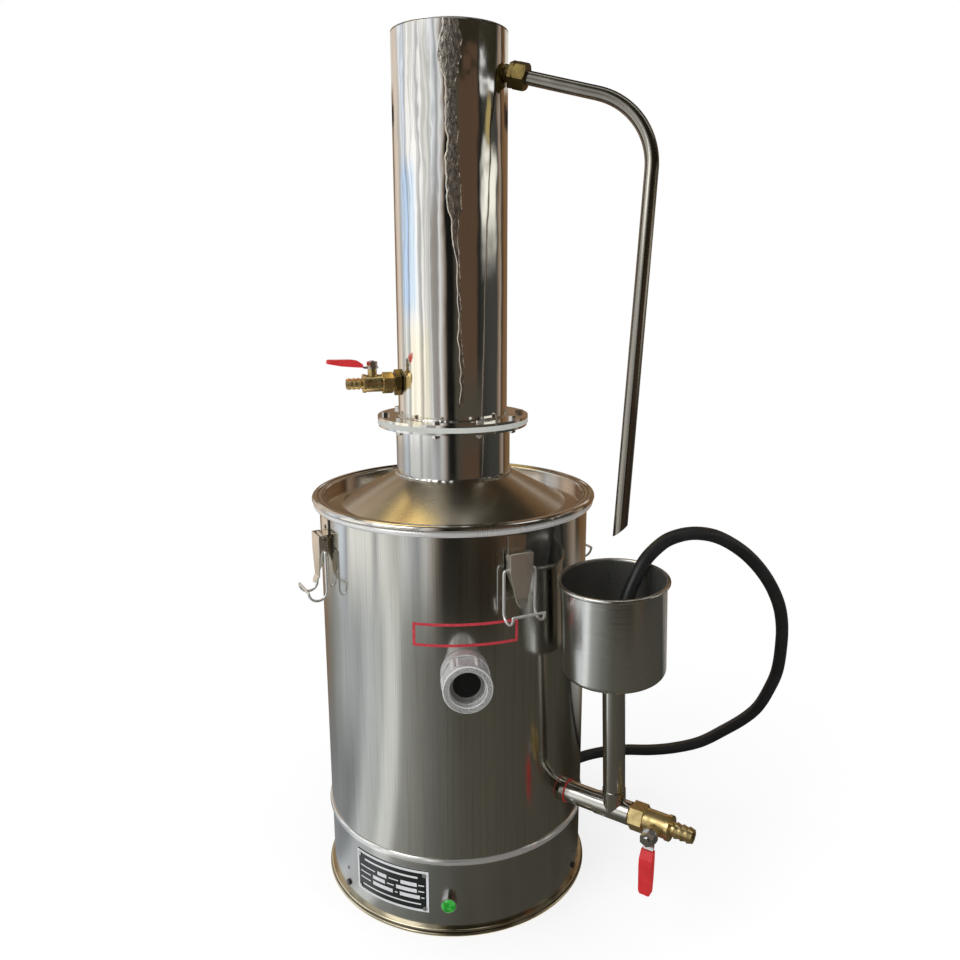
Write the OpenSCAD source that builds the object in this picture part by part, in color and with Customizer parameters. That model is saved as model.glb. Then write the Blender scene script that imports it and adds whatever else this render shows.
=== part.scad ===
// Electric water distiller: a heated boiler with a feed cup, and a water-cooled condenser on its lid.
// Origin at the centre of the base, on the floor. +Z is up and the sight glass faces -Y.
// Azimuths are in degrees from -Y towards +X.

/* [Boiler] */
// Outer diameter of the boiler shell
boiler_d = 271; // [262:1:290]
// Thickness of the sheet that the vessels are rolled from
sheet = 1.2; // [0.8:0.1:1.6]
// Height of the seam between the skirt and the boiler
seam_z = 74; // [70:1:84]
// Height of the top of the rolled rim
rim_z = 410; // [385:1:440]
// How far the rolled rim stands out from the shell
rim_out = 6; // [4:0.5:8]
// Height of the rolled rim
rim_h = 6; // [5:0.5:7]
// Height of the lower edge of the raised band above the seam
band_up = 2.2; // [1.5:0.1:4]
// Height of the raised band
band_h = 7; // [5:0.5:9]
// How far the raised band stands out from the shell
band_out = 2.2; // [1:0.1:3]
// Height of the boiler floor above the seam
floor_up = 6; // [5:0.5:10]
// Thickness of the boiler floor
floor_t = 1.5; // [1.2:0.1:2.5]

/* [Base] */
// How far the skirt is set in from the boiler shell
skirt_in = 0.5; // [0.3:0.1:1]
// How far the foot ring stands out from the skirt
foot_out = 5.3; // [3:0.1:8]
// Height of the foot ring's flange
foot_h = 7; // [5:0.5:9]
// Height of the foot ring's upstand inside the skirt
upstand_h = 21; // [19:0.5:24]
// Thickness of the base cover
cover_t = 2.2; // [2:0.1:3]
// Height of the skirt screws
screw_z = 16; // [14:0.5:17]
// Height of the vent holes in the skirt
vent_z = 33; // [28:1:40]
// Diameter of the indicator's barrel
lamp_d = 16; // [14:0.5:18]
// Azimuth of the indicator
lamp_az = -1.7; // [-4:0.1:4]
// Height of the indicator
lamp_z = 36.5; // [30:0.5:45]
// Length of the nameplate along the skirt
plate_w = 84; // [70:1:90]
// Height of the nameplate
plate_h = 44.5; // [36:0.5:48]
// Thickness of the nameplate
plate_t = 0.8; // [0.5:0.1:1.2]
// Azimuth of the nameplate's middle
plate_az = -27.8; // [-32:0.1:-27]
// Height of the nameplate's middle
plate_z = 45.3; // [42:0.1:47]

/* [Lid] */
// Thickness of the lid seal
seal_t = 1.3; // [1:0.1:2]
// Height of the lid's rim
lid_rim_h = 3.9; // [3:0.1:5]
// Width of the lid's rim
lid_rim_w = 11.7; // [11:0.1:13]
// How far the lid's rim stands out over the rolled rim
lid_over = 1.2; // [0.5:0.1:2]
// Depth of the lid's floor below the top of its rim
lid_recess = 9.7; // [8:0.1:12]
// Diameter of the foot of the lid's cone
cone_d = 226; // [200:1:236]
// Height of the lid's cone
cone_h = 29.5; // [24:0.5:40]
// Outer diameter of the neck
neck_d = 114; // [112:0.5:118]
// Height of the neck above the cone
neck_h = 50; // [40:1:60]

/* [Condenser] */
// Outer diameter of the flanges
flange_d = 150; // [146:1:160]
// Thickness of each flange
flange_t = 2.5; // [2:0.1:4]
// Thickness of the flange gasket
gasket_t = 5; // [3:0.5:7]
// Number of flange bolts
bolt_n = 10; // [8:1:10]
// Diameter of the flange bolts' circle
bolt_circle = 134; // [132:0.5:137]
// Diameter of the flange bolts
bolt_d = 4; // [3.5:0.5:5]
// Outer diameter of the condenser shell
cond_d = 108; // [104:0.5:109]
// Height of the condenser above the gasket
cond_h = 353; // [300:1:400]
// Thickness of the condenser's top
cond_top_t = 1.5; // [1:0.1:3]
// Diameter of the inner chamber where steam condenses
chamber_d = 84; // [70:1:88]
// Height of the inner chamber
chamber_h = 285; // [220:1:290]
// Diameter of the steam riser
riser_d = 32; // [24:1:40]
// Height of the steam riser
riser_h = 150; // [100:1:200]
// Thickness of the condensate tray
tray_t = 2; // [1.5:0.1:3]
// Diameter of the distillate outlet
outlet_d = 10; // [8:0.5:12]
// Length of the distillate outlet outside the condenser
outlet_l = 38; // [30:1:50]
// Height of the distillate outlet above the gasket
outlet_up = 13; // [12.5:0.5:20]

/* [Water inlet] */
// Azimuth of the inlet
inlet_az = -72; // [-85:1:-50]
// Height of the inlet above the gasket
inlet_up = 36; // [34:1:60]
// Length of the inlet bush outside the condenser
bush_l = 5; // [4:0.5:8]
// Distance from the bush to the middle of the inlet valve
valve_off = 21.5; // [21:0.5:27]

/* [Water return] */
// Azimuth of the return outlet
return_az = 75; // [70:1:85]
// Depth of the return outlet below the condenser's top
return_down = 37; // [30:1:60]
// Slope of the return fitting
return_droop = 15; // [10:0.5:20]
// Lean of the return tube towards the cup
return_lean = 10; // [8:0.5:12]
// Diameter of the return tube
return_d = 12.5; // [11:0.5:14]
// Wall of the return tube
return_wall = 1.2; // [1:0.1:1.5]
// Length of the return tube's upper leg from the condenser
return_leg = 87; // [70:1:95]
// Bend radius of the return tube
return_bend = 68; // [50:1:72]
// Length of the return tube's lower leg
return_drop = 324; // [250:1:328]

/* [Feed] */
// Azimuth of the feed pipe
feed_az = 55; // [52:0.5:57]
// Height of the feed pipe
feed_z = 121.5; // [115:0.5:125]
// Lean of the cup about the feed pipe
feed_lean = 4.2; // [0:0.1:5]
// Diameter of the feed and stand pipes
pipe_d = 21.3; // [20:0.1:24]
// Wall of the feed and stand pipes
pipe_wall = 1.5; // [1:0.1:2]
// Length of the spud on the boiler
spud_l = 4.5; // [3:0.5:8]
// Distance from the boiler to the stand pipe
tee_reach = 56; // [52:0.5:58]
// Length of the tee's run on each side of the stand pipe
tee_half = 18; // [16:0.5:20]
// Height from the feed pipe to the cup's floor
stand_h = 149; // [142:1:153]
// Outer diameter of the cup
cup_d = 95.5; // [91:0.5:97]
// Height of the cup
cup_h = 92; // [82:1:95]
// Diameter of the wire in the cup's rolled rim
cup_bead = 4; // [3.5:0.5:6]
// Rounding of the cup's lower edge
cup_round = 6; // [5:0.5:12]
// Size of the drain valve against the inlet valve
drain_size = 1.35; // [1.2:0.05:1.4]

/* [Sight glass] */
// Azimuth of the sight glass
sight_az = 5.4; // [0:0.1:10]
// Height of the sight glass
sight_z = 276; // [240:1:300]
// Reach of the sight glass from the boiler
sight_reach = 37; // [34:0.5:40]
// Diameter of the sight nut's face
sight_d = 44.5; // [43:0.5:50]
// Diameter of the sight nut's mouth
sight_mouth = 33; // [30:0.5:36]
// Diameter of the clear opening in front of the glass
sight_bore = 25; // [20:0.5:28]

/* [Latches] */
// Depth of the latch pins below the rolled rim
latch_down = 26; // [25:0.5:30]
// Distance from the boiler to the latch pins
latch_out = 5.5; // [5:0.1:8]
// Width of a latch lever at its top
lever_w = 23; // [22:0.5:26]
// Length of a latch lever below its pin
lever_l = 46.5; // [44:0.5:50]
// Diameter of the bail wire
wire_d = 2.6; // [2:0.1:3]
// Length of a bail's legs
bail_leg = 38; // [37:0.5:42]
// Bend radius of a bail's hook
bail_hook = 9; // [6:0.5:11]

/* [Mains lead] */
// Diameter of the mains lead
cord_d = 13; // [10:0.5:14]
// Azimuth of the cord gland
gland_az = 125; // [122:1:128]
// Height of the cord gland
gland_z = 50; // [46:1:54]
// Length of the gland and its strain relief outside the skirt
gland_l = 35; // [30:1:45]

/* [Hidden] */
$fn = 64;

// Radial clearances of fixed and of running fits, and the overshoot of a cut
fit = 0.05;
run = 0.05;
over = 1;

shell_r = boiler_d / 2;
bore_r = shell_r - sheet;
skirt_r = shell_r - skirt_in;
rim_r = shell_r + rim_out;
band_z = seam_z + band_up;
floor_z = seam_z + floor_up;

lid_r = rim_r + lid_over;
lid_wall_r = lid_r - lid_rim_w;
lid_bottom = rim_z + seal_t;
lid_top = lid_bottom + lid_rim_h;
lid_floor = lid_top - lid_recess;
cone_top = lid_floor + cone_h;
neck_r = neck_d / 2;
neck_top = cone_top + neck_h;

cond_r = cond_d / 2;
cond_z = neck_top + gasket_t;
cond_top = cond_z + cond_h;
flange_top = cond_z + flange_t;
flange_bottom = neck_top - flange_t;
bolt_start = -12;
bolt_head_h = 2.8;
bolt_nut_h = 3.2;
bolt_end = 0.8;
bolt_hex = 1.9;

inlet_z = cond_z + inlet_up;
bush_r = 9.5;
bush_hex = 22;
outlet_z = cond_z + outlet_up;
outlet_az = 180;
outlet_boss_r = outlet_d / 2 + 1;
outlet_boss_l = 2;
return_z = cond_top - return_down;
return_in = 2;
return_boss_r = 7.5;

pipe_r = pipe_d / 2;
pipe_bore = pipe_r - pipe_wall;
spud_r = pipe_r + 1;
spud_bore = pipe_bore + 0.5;
seal_w = 1.2;
spud_end = shell_r + spud_l;
pipe_start = spud_end + seal_w;
tee_x = shell_r + tee_reach;
tee_r = pipe_r + 0.6;
tee_collar = 22;
tee_seat = 10;
cup_r = cup_d / 2;

element_ring = 62;
element_half = 22;
element_r = 5.5;
element_top = 130;
element_tail = 20;
element_turns = [30, 150, 270];

latch_azimuths = [26, -63, 117, 207];
pin_x = shell_r + latch_out;
pin_z = rim_z - latch_down;
pin_r = 1.5;
knuckle_r = 3;
knuckle_half = 9;
strip_half = 9;
strip_t = 1.2;
strip_lift = 0.1;
strip_low = 1.8;
strip_h = 16;
strip_rivet_up = 9;
lever_t = 1.2;
lever_top = 3.1;
lever_back = 4.5;
lever_depth = 2.5;
lever_straight = 14;
lever_bend = 8;
lever_kick = 30;
lever_tip_r = 6.5;
bail_x = 1;
bail_z = -12;
wire_r = wire_d / 2;
bail_half = lever_w / 2 + 3 + wire_r;
bail_corner = 3;

lamp_stem = lamp_d / 2 - 2;
lamp_out = 7;
lamp_seat = 4.5;
lamp_lip = 0.9;

screw_r = 1.7;
screw_head_r = 3.2;
screw_sink = 1.3;
screw_azimuths = [-54, 67, 187];
cover_screw_turns = [45, 135, 225, 315];
rivet_r = 1.2;
rivet_head_r = 2.2;
rivet_head_t = 0.9;
ledge_in = 10;
ledge_t = 2;
ledge_top = cover_t + ledge_t;
upstand_t = 1.5;
upstand_r = skirt_r - sheet - 2 * fit;
ledge_r = upstand_r - upstand_t - ledge_in;
cover_r = upstand_r - upstand_t - 1;
cover_screw_ring = ledge_r + ledge_in / 2;
block_size = [72, 34, 22];
block_z = cover_t;
block_pitch = 22;

sight_hex = 0.9 * sight_d;
sight_stem_r = sight_d / 2 - 4;
sight_glass_r = sight_stem_r - 0.3;
sight_mouth_l = 10;
sight_step_l = 5.5;
sight_lip = 12;
sight_nut_l = 24;
sight_glass_t = 4;
sight_gasket_t = 2;
sight_face = shell_r + sight_reach;
sight_glass_x = sight_face - sight_lip - fit - sight_glass_t;
sight_stem_end = sight_glass_x - sight_gasket_t;

// Ball valve sizes at the inlet
valve_nipple_r = 7;
valve_nipple_x = 30;
valve_hex = 18;
valve_hex_x = 19.5;
valve_neck_x = 9.5;
valve_body_r = 8.3;
valve_end = 7;
valve_cavity_r = 6.1;
valve_seat_x = 6;
valve_ball_r = 5.8;
valve_bore = 3.6;
stem_r = 2.5;
stem_boss_r = 4.4;
stem_boss_h = 14.3;
handle_z = 14.4;
handle_t = 1.5;
handle_l = 42.5;
handle_w = 9;
nut_h = 5;
nut_hex = 9;
drain_seat = 12;
drain_x = tee_x + tee_half - drain_seat + drain_size * valve_nipple_x;
inlet_x = cond_r + bush_l + valve_off;

return_r = return_d / 2;
return_turn = 90 - return_droop + return_in;
adaptor_hex = 21.5;
adaptor_x = adaptor_hex / 2 / cos(30) * tan(return_droop) + 0.6;
adaptor_end = adaptor_x + 4;
return_nut_hex = 22;
return_nut_end = adaptor_end + 12;
return_tube_x = adaptor_end + 1.5;

gland_r = 9;
gland_end = skirt_r + gland_l;
gland_dir = [sin(gland_az), -cos(gland_az)];

// Route of the mains lead after the gland, chosen by hand
cord_route = [
    [166, 113, 50], [186, 116, 52], [208, 112, 56], [234, 101, 62], [261, 92, 70],
    [289, 81, 84], [313, 69, 106], [331, 58, 126], [343, 48, 146], [350, 37, 172],
    [353, 22, 204], [349, 5, 245], [343, -7, 274], [333, -19, 300], [317, -31, 327],
    [297, -43, 351], [276, -53, 369], [252, -64, 383], [227, -75, 389], [205, -85, 387],
    [191, -92, 380], [179, -98, 369], [170, -104, 354], [163, -109, 339], [158, -113, 322],
    [155, -116, 304], [154, -118, 290]
];
cord_start = [for (r = [gland_end, gland_end + 14]) [r * gland_dir[0], r * gland_dir[1], gland_z]];
cord_path = concat(cord_start, cord_route);
cord_sides = 12;
core_r = 1.6;
core_ring = 3;
core_l = 14;

steel = [0.72, 0.72, 0.73];
dark_steel = [0.5, 0.5, 0.52];
brass = [0.72, 0.55, 0.27];
red = [0.85, 0.12, 0.14];
black = [0.06, 0.06, 0.07];
cream = [0.93, 0.92, 0.86];

// Points of an arc about a centre
function arc(cx, cy, r, from, to, steps = 8) =
    [for (i = [0 : steps]) let (a = from + (to - from) * i / steps) [cx + r * cos(a), cy + r * sin(a)]];

function unit(v) = v / norm(v);
function headings(p) =
    [for (i = [0 : len(p) - 1]) unit(p[min(i + 1, len(p) - 1)] - p[max(i - 1, 0)])];
function level(v, t) = unit(v - t * (v * t));
function first_side(t) = abs(t[2]) > 0.9 ? [1, 0, 0] : [0, 0, 1];
function sides_of(t, i = 0, done = []) =
    i == len(t) ? done
    : sides_of(t, i + 1, concat(done, [level(i == 0 ? first_side(t[0]) : done[i - 1], t[i])]));

// Frame at an azimuth: x runs outwards, z stays up
module at_az(az, z = 0) {
    translate([0, 0, z]) rotate([0, 0, az - 90]) children();
}

// Cylinder along x
module rod(r, x0, x1) {
    translate([x0, 0, 0]) rotate([0, 90, 0]) cylinder(r = r, h = x1 - x0);
}

// Hexagonal bar along x, by its size across the flats
module hex_rod(across, x0, x1, turn = 0) {
    translate([x0, 0, 0]) rotate([0, 90, 0]) rotate([0, 0, turn])
        cylinder(d = across / cos(30), h = x1 - x0, $fn = 6);
}

module ring(outer, inner, z0, z1) {
    translate([0, 0, z0]) difference() {
        cylinder(r = outer, h = z1 - z0);
        translate([0, 0, -over]) cylinder(r = inner, h = z1 - z0 + 2 * over);
    }
}

// Round tube swept along a list of points
module tube_along(path, r, sides) {
    t = headings(path);
    n = sides_of(t);
    last = len(path) - 1;
    points = [
        for (i = [0 : last], k = [0 : sides - 1])
            path[i] + r * (cos(360 * k / sides) * n[i] + sin(360 * k / sides) * cross(t[i], n[i]))
    ];
    walls = [
        for (i = [0 : last - 1], k = [0 : sides - 1], half = [0, 1])
            let (a = i * sides + k, b = i * sides + (k + 1) % sides)
                half == 0 ? [a, b + sides, b] : [a, a + sides, b + sides]
    ];
    far = last * sides;
    start = [for (k = [1 : sides - 2]) [0, k, k + 1]];
    end = [for (k = [1 : sides - 2]) [far, far + k + 1, far + k]];
    polyhedron(points, concat(walls, start, end));
}

// Boiler

module boiler_shell() {
    half = rim_h / 2;
    profile = concat(
        [[bore_r, seam_z], [shell_r, seam_z]],
        [for (p = arc(0, 0, 1, -90, 90, 10)) [shell_r + band_out * p[0], band_z + band_h / 2 * (1 + p[1])]],
        [[shell_r, rim_z - rim_h]],
        arc(rim_r - half, rim_z - half, half, -90, 90),
        [[bore_r, rim_z]]
    );
    color(steel) {
        difference() {
            rotate_extrude($fn = 128) polygon(profile);
            at_az(sight_az, sight_z) rod(sight_stem_r + fit, shell_r - 20, shell_r + 20);
            at_az(feed_az, feed_z) rod(spud_bore, shell_r - 20, shell_r + 20);
            for (az = latch_azimuths)
                at_az(az, pin_z + strip_rivet_up) rod(rivet_r + fit, shell_r - 5, shell_r + 5);
        }
        difference() {
            at_az(feed_az, feed_z) rod(spud_r, shell_r - 4, spud_end);
            translate([0, 0, feed_z - 2 * spud_r]) cylinder(r = shell_r, h = 4 * spud_r, $fn = 128);
            at_az(feed_az, feed_z) rod(spud_bore, shell_r - 20, spud_end + over);
        }
    }
}

module boiler_floor() {
    color(steel) difference() {
        translate([0, 0, floor_z]) cylinder(r = bore_r - fit, h = floor_t, $fn = 128);
        element_legs(element_r + fit, floor_z - over, floor_z + floor_t + over);
    }
}

// Base

module skirt() {
    spigot = bore_r - 2 * fit;
    profile = [
        [skirt_r - sheet, foot_h], [skirt_r, foot_h], [skirt_r, seam_z], [spigot, seam_z],
        [spigot, seam_z + 4], [spigot - sheet, seam_z + 4], [spigot - sheet, seam_z - 8],
        [skirt_r - sheet, seam_z - 8]
    ];
    color(steel) difference() {
        rotate_extrude($fn = 128) polygon(profile);
        at_az(lamp_az, lamp_z) rod(lamp_stem + fit, skirt_r - 10, skirt_r + 10);
        at_az(gland_az, gland_z) rod(gland_r + fit, skirt_r - 10, skirt_r + 10);
        skirt_screw_rods(screw_r + fit, skirt_r - 10, skirt_r + 10, screw_z);
        skirt_screw_rods(screw_r, skirt_r - 10, skirt_r + 10, vent_z);
        plate_rivet_rods(rivet_r + fit, skirt_r - 10, skirt_r + 10);
    }
}

module skirt_screw_rods(r, x0, x1, z) {
    for (az = screw_azimuths) at_az(az, z) rod(r, x0, x1);
}

module plate_rivet_rods(r, x0, x1) {
    span = (plate_w / 2 - 4) / skirt_r * 180 / PI;
    for (side = [-1, 1], row = [-1, 1])
        at_az(plate_az + side * span, plate_z + row * (plate_h / 2 - 4)) rod(r, x0, x1);
}

// Ring with two rolled beads, and an upstand inside the skirt
module foot_ring() {
    foot_r = skirt_r + foot_out;
    low_r = 0.275 * foot_h;
    high_r = foot_h / 2 - low_r;
    profile = concat(
        [[cover_r + fit, 0]],
        arc(foot_r - low_r, low_r, low_r, -90, 70),
        arc(foot_r - 1.4 - high_r, foot_h - high_r, high_r, -50, 90),
        [[upstand_r, foot_h], [upstand_r, upstand_h], [upstand_r - upstand_t, upstand_h]],
        [[upstand_r - upstand_t, ledge_top], [ledge_r, ledge_top]],
        [[ledge_r, cover_t], [cover_r + fit, cover_t]]
    );
    color(dark_steel) difference() {
        rotate_extrude($fn = 128) polygon(profile);
        skirt_screw_rods(screw_r + fit, skirt_r - 10, skirt_r + 2, screw_z);
        cover_screw_rods(screw_r + fit, -over, ledge_top + over);
    }
}

module cover_screw_rods(r, z0, z1) {
    for (a = cover_screw_turns)
        rotate([0, 0, a]) translate([cover_screw_ring, 0, z0]) cylinder(r = r, h = z1 - z0);
}

// Cover in the foot ring, level with its underside
module base_cover() {
    color(dark_steel) difference() {
        cylinder(r = cover_r, h = cover_t, $fn = 128);
        cover_screw_rods(screw_r + fit, -over, cover_t + over);
        cover_screw_rods(screw_head_r + fit, -over, screw_sink);
    }
}

module base_screws() {
    head_t = 1.8;
    color(steel) {
        skirt_screw_rods(screw_r, upstand_r - upstand_t - 1, skirt_r + head_t, screw_z);
        skirt_screw_rods(screw_head_r, skirt_r + fit, skirt_r + head_t, screw_z);
        cover_screw_rods(screw_r, screw_sink - 1, ledge_top + 1);
        cover_screw_rods(screw_head_r, screw_sink - 1, screw_sink);
    }
}

// Heating

module element_legs(r, z0, z1) {
    for (a = element_turns, side = [-1, 1])
        rotate([0, 0, a]) translate([element_ring, side * element_half, z0]) cylinder(r = r, h = z1 - z0);
}

module heating_elements() {
    color(dark_steel) {
        element_legs(element_r, floor_z - element_tail, floor_z + element_top);
        for (a = element_turns)
            rotate([0, 0, a]) translate([element_ring, 0, floor_z + element_top])
                rotate([90, 0, 90]) rotate_extrude(angle = 180)
                    translate([element_half, 0]) circle(r = element_r);
    }
}

module element_nuts() {
    nut_t = 6;
    color(brass) difference() {
        for (a = element_turns, side = [-1, 1])
            rotate([0, 0, a]) translate([element_ring, side * element_half, floor_z - nut_t])
                cylinder(d = 20 / cos(30), h = nut_t, $fn = 6);
        element_legs(element_r + fit, floor_z - nut_t - over, floor_z + over);
    }
}

module terminal_block() {
    color(cream) difference() {
        translate([-block_size[0] / 2, -block_size[1] / 2, block_z]) cube(block_size);
        for (i = [-1, 0, 1])
            translate([i * block_pitch, 0, block_z + 6]) cylinder(r = 4, h = block_size[2]);
    }
}

// One lead from each element down to the block, and three from the gland
module heater_leads() {
    lead_r = 1.6;
    top = floor_z - element_tail - 0.2;
    low = block_z + block_size[2];
    gland_in = skirt_r - 8 - 0.2;
    columns = [1, -1, 0];
    color(black) {
        for (i = [0, 1, 2]) {
            a = element_turns[i];
            p = element_ring * [cos(a), sin(a)] + element_half * [-sin(a), cos(a)];
            q = [columns[i] * block_pitch, -2.2];
            m = 0.7 * p + 0.3 * q;
            tube_along([
                [p[0], p[1], top], [p[0], p[1], top - 4], [m[0], m[1], top - 11],
                [q[0], q[1] - 3, top - 14], [q[0], q[1], top - 22], [q[0], q[1], low - 14]
            ], lead_r, 8);
        }
        for (i = [-1, 0, 1]) {
            across = i * [-gland_dir[1], gland_dir[0]];
            start = gland_in * gland_dir + 5 * across;
            bend = start - 8 * gland_dir;
            mid = 0.62 * gland_in * gland_dir + 7 * across;
            q = [-i * block_pitch, 2.2];
            tube_along([
                [start[0], start[1], gland_z], [bend[0], bend[1], gland_z],
                [mid[0], mid[1], gland_z - 8], [0.6 * q[0] + 14, 26, low + 9],
                [q[0], 6, low + 8], [q[0], q[1], low + 3], [q[0], q[1], low - 1], [q[0], q[1], low - 14]
            ], lead_r, 8);
        }
    }
}

module indicator_bezel() {
    color(steel) at_az(lamp_az, lamp_z) difference() {
        union() {
            rod(lamp_stem, skirt_r - 14, skirt_r + 1);
            rod(lamp_d / 2, skirt_r + fit, skirt_r + lamp_out);
        }
        rod(lamp_stem - 1, skirt_r - 10, skirt_r + lamp_out);
        rod(lamp_d / 2 - lamp_lip, skirt_r + lamp_seat, skirt_r + lamp_out + over);
    }
}

module indicator_lens() {
    back = skirt_r - 10;
    stem = lamp_stem - 1 - fit;
    head = lamp_d / 2 - lamp_lip - fit;
    seat = skirt_r + lamp_seat + fit - back;
    front = skirt_r + lamp_out - back;
    dome = 3;
    color([0.2, 0.8, 0.2]) at_az(lamp_az, lamp_z) translate([back, 0, 0]) rotate([0, 90, 0])
        rotate_extrude() polygon(concat(
            [[0, 0], [stem, 0], [stem, seat], [head, seat]],
            [for (a = [0 : 15 : 90]) [head * cos(a), front + dome * sin(a)]]
        ));
}

module nameplate() {
    turn = plate_w / skirt_r * 180 / PI;
    color(black) difference() {
        translate([0, 0, plate_z - plate_h / 2]) rotate([0, 0, plate_az - 90 - turn / 2])
            rotate_extrude(angle = turn, $fn = 128) translate([skirt_r + fit, 0]) square([plate_t, plate_h]);
        plate_rivet_rods(rivet_r + fit, skirt_r - 5, skirt_r + 5);
    }
}

module rivets() {
    plate_face = skirt_r + fit + plate_t + fit;
    strip_face = shell_r + strip_lift + strip_t + fit;
    color(steel) {
        plate_rivet_rods(rivet_r, skirt_r - sheet - 2, plate_face + rivet_head_t);
        plate_rivet_rods(rivet_head_r, plate_face, plate_face + rivet_head_t);
        for (az = latch_azimuths) at_az(az, pin_z + strip_rivet_up) {
            rod(rivet_r, shell_r - sheet - 1, strip_face + rivet_head_t);
            rod(rivet_head_r, strip_face, strip_face + rivet_head_t);
        }
    }
}

// Sight glass

module sight_body() {
    collar_x = shell_r + 0.1;
    collar_end = sight_face - sight_nut_l - 1;
    color(steel) at_az(sight_az, sight_z) difference() {
        union() {
            rod(sight_stem_r, shell_r - 8, sight_stem_end);
            rod(sight_d / 2, collar_x, collar_end);
        }
        rod(sight_bore / 2, shell_r - 20, sight_face);
    }
}

module sight_gasket() {
    color(black) at_az(sight_az, sight_z) difference() {
        rod(sight_stem_r - 0.5, sight_stem_end, sight_glass_x);
        rod(sight_bore / 2, sight_stem_end - over, sight_glass_x + over);
    }
}

module sight_glass() {
    color([0.3, 0.35, 0.36]) at_az(sight_az, sight_z)
        rod(sight_glass_r, sight_glass_x, sight_glass_x + sight_glass_t);
}

// Nut that holds the glass: a hexagon behind a round face, with a stepped mouth
module sight_ring() {
    start = sight_face - sight_nut_l;
    face_r = sight_d / 2;
    mouth_r = sight_mouth / 2;
    edge = 0.8;
    rim_x = sight_face - 5;
    color(steel) at_az(sight_az, sight_z) difference() {
        union() {
            intersection() {
                hex_rod(sight_hex, start, rim_x - 0.3, 30);
                rod(face_r + 0.6, start - over, sight_face);
            }
            rotate([0, 90, 0]) rotate_extrude() polygon([
                [0, rim_x - 2.5], [sight_hex / 2 - 0.5, rim_x - 2.5], [face_r, rim_x],
                [face_r, sight_face - edge], [face_r - edge, sight_face], [0, sight_face]
            ]);
        }
        rod(sight_stem_r + run, start - over, sight_face - sight_lip);
        rod(sight_bore / 2, start, sight_face);
        rotate([0, 90, 0]) rotate_extrude() polygon([
            [0, sight_face - sight_mouth_l], [mouth_r - 1.6, sight_face - sight_mouth_l],
            [mouth_r - 1.6, sight_face - sight_step_l - 0.8], [mouth_r, sight_face - sight_step_l],
            [mouth_r, sight_face - edge], [mouth_r + edge, sight_face], [mouth_r + edge, sight_face + over],
            [0, sight_face + over]
        ]);
    }
}

// Feed

module at_feed() {
    at_az(feed_az, feed_z) rotate([feed_lean, 0, 0]) children();
}

module feed_seal() {
    color(red) at_feed() difference() {
        rod(spud_r + 0.1, spud_end, pipe_start);
        rod(spud_bore, spud_end - over, pipe_start + over);
    }
}

module feed_pipe() {
    end = tee_x - tee_half;
    color(steel) at_feed() difference() {
        union() {
            rod(pipe_r, pipe_start, end);
            rod(spud_bore - run, shell_r - 3, end);
        }
        rod(pipe_bore - 1, shell_r - 10, end + over);
    }
}

module feed_tee() {
    color(steel) at_feed() difference() {
        union() {
            rod(tee_r, tee_x - tee_half, tee_x + tee_half);
            translate([tee_x, 0, 0]) cylinder(r = tee_r, h = tee_collar);
        }
        rod(pipe_bore - 1, tee_x - tee_half - over, tee_x + tee_half);
        rod(drain_size * valve_nipple_r + run, tee_x + tee_half - drain_seat, tee_x + tee_half + over);
        translate([tee_x, 0, 0]) cylinder(r = pipe_bore, h = tee_collar);
        translate([tee_x, 0, tee_seat]) cylinder(r = pipe_r + run, h = tee_collar);
    }
}

module stand_pipe() {
    color(steel) at_feed() translate([tee_x, 0, tee_seat]) difference() {
        cylinder(r = pipe_r, h = stand_h - tee_seat + sheet + 2);
        translate([0, 0, -over]) cylinder(r = pipe_bore, h = stand_h);
    }
}

module feed_cup() {
    bead_r = cup_bead / 2;
    bead_ring = cup_r + bead_r - 0.9;
    wall_top = cup_h - bead_r;
    inner = cup_r - sheet;
    profile = concat(
        [[pipe_r + run, 0]],
        arc(cup_r - cup_round, cup_round, cup_round, -90, 0),
        [[cup_r, wall_top], [inner, wall_top]],
        arc(cup_r - cup_round, cup_round, cup_round - sheet, 0, -90),
        [[pipe_r + run, sheet]]
    );
    color(steel) at_feed() translate([tee_x, 0, stand_h]) {
        rotate_extrude($fn = 96) polygon(profile);
        rotate_extrude($fn = 96) translate([bead_ring, wall_top]) circle(r = bead_r);
    }
}

// Ball valves, with the ball at the origin, the flow along x and the stem along z

module valve_body() {
    difference() {
        union() {
            rod(valve_nipple_r, -valve_nipple_x, -valve_hex_x);
            hex_rod(valve_hex, -valve_hex_x, -valve_neck_x);
            rod(valve_body_r, -valve_neck_x, valve_end);
            cylinder(r = stem_boss_r, h = stem_boss_h);
        }
        rod(valve_bore, -valve_nipple_x - over, 0);
        rod(valve_cavity_r, -valve_seat_x, valve_end + over);
        cylinder(r = stem_r + run, h = stem_boss_h + over);
    }
}

module valve_tail() {
    ring_end = valve_end + 2.5;
    barb_end = 25.5;
    root = 4.9;
    crest = 5.8;
    pitch = 4.5;
    barbs = [
        for (i = [0 : 2], step = [0, 1, 2])
            let (x = barb_end - 1 - pitch * i)
                step == 0 ? [root + 0.2, x] : step == 1 ? [crest, x - 2.4] : [root, x - 3]
    ];
    rotate([0, 90, 0]) difference() {
        rotate_extrude() polygon(concat(
            [[0, barb_end], [root, barb_end]],
            barbs,
            [[root, ring_end], [9, ring_end], [9, valve_end], [valve_cavity_r - fit, valve_end]],
            [[valve_cavity_r - fit, valve_seat_x - 1], [0, valve_seat_x - 1]]
        ));
        cylinder(r = 3.3, h = barb_end + over);
    }
}

module valve_ball() {
    difference() {
        union() {
            sphere(r = valve_ball_r);
            cylinder(r = stem_r, h = handle_z + handle_t + nut_h + 0.8);
        }
        rod(valve_bore, -valve_ball_r - over, valve_ball_r + over);
    }
}

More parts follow.
